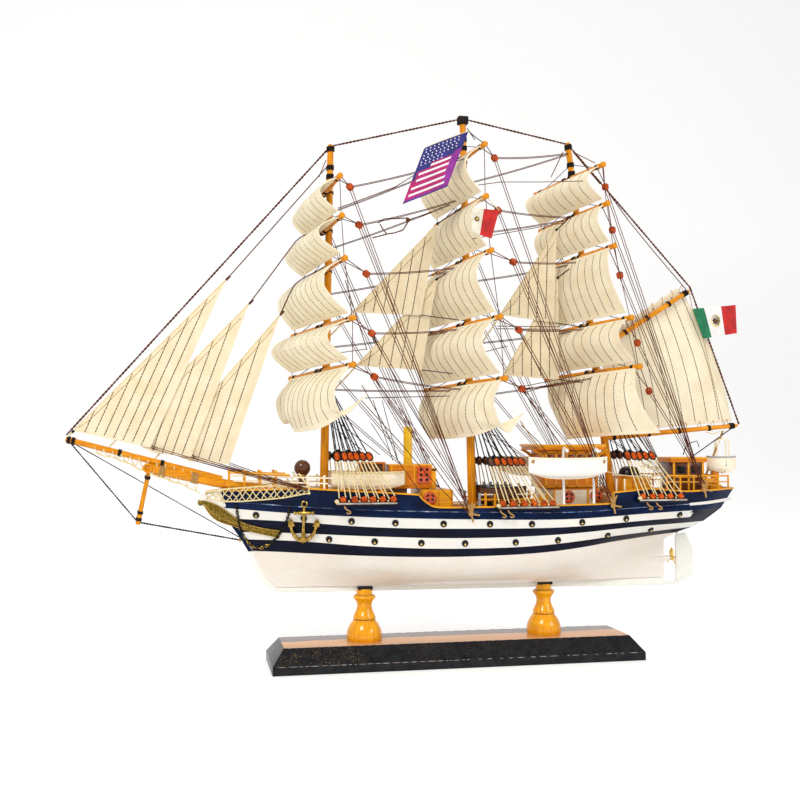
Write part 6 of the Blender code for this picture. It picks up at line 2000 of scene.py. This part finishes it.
def finish_deckhouse_fore(pile):
    x, radius, top = FUNNEL
    for side in SIDES:
        for dx in (-2.7, 2.7):
            for z in (160.4, 164.8, 169.3):
                disc(pile, (-31.8 + dx, side * 15.6, z), side, 0.55, ((0.0, 1.35), (1.0, 1.35)), 12, HOLE)
    collar, bore = radius + 0.8, radius * 0.7
    pipe = ((0.0, collar), (0.03, collar), (0.05, radius), (0.985, radius), (1.0, radius * 0.93))
    lathe(pile, (x, 0.0, 173.0), (x, 0.0, top), pipe, 28, FUNNEL_PAINT)
    # black disc in the funnel's top: painted shade inside its bore
    lathe(pile, (x, 0.0, top - 0.4), (x, 0.0, top + 0.1), ((0.0, bore), (1.0, bore)), 20, HOLE)


def finish_wheelhouse(pile):
    curl = ((-3.0, 176.0), (-1.0, 179.5), (2.0, 182.8), (6.0, 185.2), (9.5, 186.4))
    for side in SIDES:
        for k in range(5):
            disc(pile, (84.2 + 9.6 * k, side * 19.0, 178.5), side, 0.8,
                 ((0.0, 2.2), (0.6, 2.2), (1.0, 1.6)), 16, BUTTON)
        for mirror, x in ((-1.0, 77.4), (1.0, 129.6)):
            path = [(x + mirror * dx, side * 17.0, z) for dx, z in curl]
            tube(pile, path, [1.5, 1.6, 1.5, 1.2, 0.9], 8, GLOW)
    for x in (69.7, 133.8):
        tube(pile, [(x, -24.6, 190.6), (x, 24.6, 190.6)], 1.1, 8, GLOW)


def finish_poop_house(pile):
    (x, z), (length, breadth, height) = DOME
    points = []
    for i in range(DOME_RINGS + 1):
        a = math.pi / 2 * i / DOME_RINGS
        spread = max(math.cos(a) ** 0.55, 0.04)
        points += circle((x, 0.0, z + height * math.sin(a)), (length * spread, 0.0, 0.0),
                         (0.0, breadth * spread, 0.0), 32)
    skin(pile, points, 32, HOLE)
    rim = circle((x, 0.0, z + 1.3), (length + 0.65, 0.0, 0.0), (0.0, breadth + 0.7, 0.0), 40)
    tube(pile, rim, 0.6, 6, PALE, loop=True)


HOUSE_FINISH = {
    "deckhouse_fore": finish_deckhouse_fore, "wheelhouse": finish_wheelhouse, "poop_house": finish_poop_house,
}


def make_houses():
    for name, (blocks, flanks, (xs, wall, height, paint_index, wide, thick), buttons) in HOUSES.items():
        pile = Pile()
        for x, half, z, bevel, paint in blocks:
            block(pile, x, (-half, half), z, bevel, paint)
        strips = tuple(((x - wide, x + wide), (wall, wall + thick), height, 0.2, paint_index) for x in xs)
        for side in SIDES:
            for x, y, z, bevel, paint in flanks + strips:
                block(pile, x, sorted(side * at for at in y), z, bevel, paint)
            for x, y, z, radius in buttons:
                round_button(pile, (x, side * y, z), side, radius)
        if name in HOUSE_FINISH:
            HOUSE_FINISH[name](pile)
        pile.piece(name + "_joinery", HOUSE_PAINTS, "house_varnish", stands_for=(name,))


def make_capstan():
    x, z, radius = BALL
    pile = Pile()
    deck = line_value(RAIL_LINE, x, 2)
    ball(pile, (x, 0.0, z), radius, 28, 0)
    lathe(pile, (x, 0.0, deck), (x, 0.0, z),
          ((0.0, 5.2), (0.1, 5.2), (0.16, 4.2), (0.4, 3.0), (0.6, 3.4), (1.0, 2.5)), 20, 0)
    coil(pile, (x, 0.0, z - radius * 0.86), UP, 4.0, 0.6, 2, 1)
    middle = Vector((x, 0.0, deck + 3.6))
    for k in range(6):
        angle = 2 * math.pi * k / 6 + 0.3
        spoke = Vector((math.cos(angle), math.sin(angle), 0.0))
        tube(pile, [middle + spoke * 3.0, middle + spoke * 7.0], [0.7, 0.45], 8, 1)
    pile.piece("capstan_turned", [BROWN_WOOD, GILT], "brown_varnish", stands_for=("capstan",))


def inside_rail(x, inset, z, side):
    """Point at a distance inside the hull's rail."""
    half = half_breadth(max(min(x, 262.0), -205.0), rail_value(x, 1) - 1.0)
    return (x, side * max(half - inset, 3.0), z)


def make_deck_rails():
    pile = Pile()
    for side in SIDES:
        for (start, end), inset, z, fall, legs, radius, paint_index in RAILS:
            path = [inside_rail(start + (end - start) * k / legs, inset, z - fall * k / legs, side)
                    for k in range(legs + 1)]
            tube(pile, path, radius, 8, paint_index)
        for xs, inset, top, radius, paint_index in POSTS:
            for x in xs:
                foot = WAIST_DECK if 0.0 < x < 80.0 else rail_value(x, 2)
                tube(pile, [inside_rail(x, inset, foot, side), inside_rail(x, inset, top, side)], radius, 8,
                     paint_index)
                if radius is FORE_POST:
                    ball(pile, inside_rail(x, inset, top + 0.5, side), 1.4, 10, paint_index)
    for start, end, profile, sides in DECK_LOGS:
        lathe(pile, start, end, profile, sides, 0)
    for x, half, z in DECK_BOXES:
        block(pile, x, (-half, half), z, 0.8, 0)
    pile.piece("deck_rails", RAIL_PAINTS, "house_varnish")


def make_rope_coils():
    coils = Pile()
    for x, y in ROPE_COILS:
        for k in range(3):
            radius, z = 4.4 - 0.5 * k, line_value(RAIL_LINE, x, 2) + 1.2 + 1.1 * k
            tube(coils, circle((x, y, z), (radius, 0.0, 0.0), (0.0, radius, 0.0), 22), 0.62, 6, 0, loop=True)
    coils.piece("rope_coils", [THREAD_TAN], "rigging")


# Nets

NET_LENGTH = (-220.0, 86.0)               # fore end and length
NET_ROWS, NET_COLUMNS = 3, 15
NET_EDGES = (  # x, lower edge, upper edge
    (-220.5, 145.2, 151.0), (-205.6, 142.8, 153.2), (-191.4, 143.0, 154.6), (-172.8, 144.6, 156.2),
    (-155.0, 146.4, 157.0), (-134.0, 150.6, 155.6),
)
NET_HANG = (  # x and z of the lower edge of the net under the jib boom
    (-311.4, 185.2), (-291.0, 179.3), (-274.5, 171.6), (-257.9, 164.5), (-237.1, 157.2), (-224.5, 150.6),
)
BOOM_NET_LEGS = 24


def net_place(column, row, side):
    """Place on the net along the bow's bulwark, at a column and a row that needn't be whole."""
    x = NET_LENGTH[0] + NET_LENGTH[1] * column / NET_COLUMNS
    low, high = line_value(NET_EDGES, x, 1), line_value(NET_EDGES, x, 2)
    z = low + (high - low) * row / NET_ROWS
    if x < -207.0:
        return Vector((x, side * (2.4 + 1.2 * row / NET_ROWS), z))
    rim = rail_value(x, 1) - 0.5
    return side_point(x, min(z, rim), side, 1.3)[0] + UP * max(z - rim, 0.0)


def make_bow_net(side_name, side):
    pile = Pile()
    knots = []
    for r in range(NET_ROWS + 1):
        knots.append([])
        for c in range(NET_COLUMNS + 1):
            column = min(max(c + 0.5 * (r % 2) + random.uniform(-0.18, 0.18), 0.0), NET_COLUMNS)
            row = r + (random.uniform(-0.16, 0.16) if 0 < r < NET_ROWS else 0.0)
            knots[-1].append(net_place(column, row, side))
    for c in range(NET_COLUMNS):
        for r in range(NET_ROWS):
            across = min(c + 1, NET_COLUMNS) if r % 2 else max(c - 1, 0)
            for ahead in (knots[r + 1][c], knots[r + 1][across]):
                rope(pile, knots[r][c], ahead, 0.42, 0, 5, 0.3, 3)
    for r, radius in ((0, 0.6), (NET_ROWS, 0.7)):
        tube(pile, [net_place(c, r, side) for c in range(NET_COLUMNS + 1)], radius, 6, 0)
    corner = net_place(NET_COLUMNS, 0, side)
    peak = net_place(NET_COLUMNS - 1.5, NET_ROWS, side) + UP * 11.0
    tube(pile, [peak, net_place(NET_COLUMNS, NET_ROWS, side), corner], 0.7, 6, 0)
    ball(pile, corner, 1.5, 10, 0)
    pile.piece("bow_net_" + side_name, [THREAD_CREAM], "rigging")


def make_boom_net():
    """Net that hangs under the jib boom."""
    pile = Pile()
    (x0, z0), (x1, z1), radius = JIB_BOOM
    last = BOOM_NET_LEGS
    fine = [NET_HANG[0][0] + 87.0 * k / last for k in range(last + 1)]
    for side in SIDES:
        lower = []
        for k, x in enumerate(fine):
            z = line_value(NET_HANG, x, 1) - 1.2 * abs(math.sin(k * 0.8))
            lower.append(Vector((x, side * 4.2 * min(k, last - k, 6) / 6, z)))
        tube(pile, lower, 0.5, 6, 0)
        for k in range(1, last, 2):
            for x in (fine[k] + 4.0, fine[k] - 4.0):
                boom = Vector((x, side * radius, z0 + (x - x0) * (z1 - z0) / (x1 - x0)))
                rope(pile, lower[k], boom, 0.32, 0, 5, 0.4, 3)
    pile.piece("boom_net", [THREAD_CREAM], "rigging")


# Anchors and their chains

ANCHOR = (-138.0, 139.5, 8.5, 109.5)      # x, height of the ring, half length of the stock, foot
ANCHOR_FLUKE = 2.6
ANCHOR_REACH = 10.5
ANCHOR_SHANK = ((0.0, 1.1), (0.15, 1.4), (0.3, 1.25), (0.8, 1.6), (0.93, 2.3), (1.0, 1.6))
ANCHOR_STOCK = (
    (0.0, 1.1), (0.02, 1.7), (0.08, 1.7), (0.12, 1.25), (0.5, 1.75), (0.88, 1.25), (0.92, 1.7), (0.98, 1.7),
    (1.0, 1.1),
)
FLUKE = ((-3.4, -3.2), (2.2, -4.0), (2.6, 0.5), (0.2, 3.6), (-1.4, 1.2), (-2.4, -0.6))
LINK_PITCH = 2.1


def make_anchor(side_name, side):
    def against_hull(at_x, at_z):
        return Vector((at_x, side * (half_breadth(at_x, at_z) + 0.6 + ANCHOR_FLUKE), at_z))
    x, ring_z, stock_half, foot_z = ANCHOR
    pile = Pile()
    ring, foot = against_hull(x, ring_z), against_hull(x, foot_z)
    lathe(pile, ring, foot, ANCHOR_SHANK, 16, 0)
    lathe(pile, foot, foot - UP * 2.4, ((0.0, 1.6), (0.5, 1.1), (1.0, 0.3)), 12, 0)
    tube(pile, circle(ring + UP * 1.6, (2.3, 0.0, 0.0), UP * 2.3, 20), 0.65, 8, 0, loop=True)
    ends = [against_hull(x + end * stock_half, ring_z - 6.0) for end in (-1, 1)]
    lathe(pile, *ends, ANCHOR_STOCK, 16, 0)
    for mirror in (-1, 1):
        path = []
        for i in range(13):
            a = math.pi / 2 * i / 12
            path.append(against_hull(x + mirror * ANCHOR_REACH * math.sin(a),
                                     foot_z + ANCHOR_REACH * 1.5 * (1 - math.cos(a))))
        tube(pile, path, [1.9 - 0.7 * i / 12 for i in range(13)], 10, 0)
        tip = path[-1]
        plate(pile, [(tip.x + mirror * dx, tip.z + dz) for dx, dz in FLUKE], tip.y - 0.9, tip.y + 0.9, 0.4, 0)
    pile.piece(f"anchor_{side_name}_cast", [BRASS], "brass", stands_for=("anchor_" + side_name,))


def make_chain(side_name, side):
    chain = Pile()
    path = [side_point(x, z, side, 1.3)[0] for x, z in CHAIN]
    reach = reaches(path)
    outward = Vector((0.0, side, 0.0))
    for k in range(int(reach[-1] / LINK_PITCH)):
        i, t = leg_at(reach, LINK_PITCH * (k + 0.5))
        centre = path[i].lerp(path[i + 1], t)
        along = (path[i + 1] - path[i]).normalized()
        across = along.cross(outward).normalized() if k % 2 else outward
        rubbed = -188.0 < centre.x < -166.0 and centre.z < 112.0 and k % 3
        tube(chain, circle(centre, along * 1.6, across * 0.95, 12), 0.42, 5, 1 if rubbed else 0, loop=True)
    chain.piece("anchor_chain_" + side_name, [BLACK_IRON, BRASS], "brass")


# Room

STAGE_HALF = 4.0                          # in metres, as the rest of the room
STAGE_FRONT, STAGE_BACK, STAGE_RISE, STAGE_CURVE = -3.0, 2.4, 3.2, 0.9
LAMPS = (  # place, size, power, colour
    ((-0.9, -1.3, 1.5), 0.7, 21.0, (1.0, 0.97, 0.93)),
    ((1.2, -1.2, 0.9), 0.6, 7.0, (1.0, 0.98, 0.95)),
    ((0.1, 0.7, 1.7), 0.8, 6.0, (1.0, 1.0, 1.0)),
)
LAMP_TARGET = (0.0, 0.0, 0.2)


def make_stage():
    floor = new_material("stage_floor", 0.6)
    inputs = shader_of(floor).inputs
    inputs["Base Color"].default_value = (0.90, 0.90, 0.90, 1.0)
    inputs["Emission Color"].default_value = (1.0, 1.0, 1.0, 1.0)
    inputs["Emission Strength"].default_value = 0.25
    bend, turns = STAGE_BACK - STAGE_CURVE, [math.pi / 2 * i / 16 for i in range(1, 17)]
    profile = [(STAGE_FRONT, 0.0), (bend, 0.0)]
    profile += [(bend + STAGE_CURVE * math.sin(a), STAGE_CURVE * (1 - math.cos(a))) for a in turns]
    profile.append((STAGE_BACK, STAGE_RISE))
    points = [(x, y, z) for y, z in profile for x in (-STAGE_HALF, STAGE_HALF)]
    faces = [(2 * i, 2 * i + 1, 2 * i + 3, 2 * i + 2) for i in range(len(profile) - 1)]
    mesh = bpy.data.meshes.new("stage")
    mesh.from_pydata(points, [], faces)
    mesh.shade_smooth()
    mesh.materials.append(floor)
    stage = bpy.data.objects.new("stage", mesh)
    bpy.context.scene.collection.objects.link(stage)


def make_lights():
    world = bpy.data.worlds.new("studio")
    world.use_nodes = True
    world.node_tree.nodes["Background"].inputs["Color"].default_value = (1.0, 1.0, 1.0, 1.0)
    world.node_tree.nodes["Background"].inputs["Strength"].default_value = 0.55
    bpy.context.scene.world = world
    for place, size, power, colour in LAMPS:
        data = bpy.data.lights.new("softbox", "AREA")
        data.size = size
        data.energy = power
        data.color = colour
        lamp = bpy.data.objects.new("softbox", data)
        lamp.location = place
        lamp.rotation_euler = (Vector(LAMP_TARGET) - Vector(place)).to_track_quat("-Z", "Y").to_euler()
        bpy.context.scene.collection.objects.link(lamp)


def make_camera():
    data = bpy.data.cameras.new("camera")
    data.lens = CAMERA_LENS
    data.sensor_width = 36.0
    camera = bpy.data.objects.new("camera", data)
    camera.location = Vector(CAMERA_PLACE) * MM
    camera.rotation_euler = (math.radians(90.0 + CAMERA_PITCH), 0.0, math.radians(-CAMERA_YAW))
    bpy.context.scene.collection.objects.link(camera)
    bpy.context.scene.camera = camera


make_camera()
make_stage()
make_lights()
bpy.context.scene.view_settings.view_transform = "Standard"
make_hull()
make_portholes()
make_bow_and_stern_trim()
make_keel_board()
make_rudder()
make_propeller()
make_plinth()
make_pedestals()

for mast_name in MASTS:
    make_mast(mast_name)
make_bowsprit()
make_masthead_rigging()
for mast_name in MASTS:
    make_square_sails(mast_name)
make_headsails()
make_spanker()
make_main_flag()
make_ensign()
make_pennant()
make_flag_lines()
for side_sign, side_label in SIDES.items():
    for mast_name in CHANNELS:
        make_channel(mast_name, side_label, side_sign)
    make_anchor(side_label, side_sign)
    make_chain(side_label, side_sign)
make_running_rigging()
make_boats()
make_houses()
make_capstan()
make_deck_rails()
make_rope_coils()
for side_sign, side_label in SIDES.items():
    make_bow_net(side_label, side_sign)
make_boom_net()
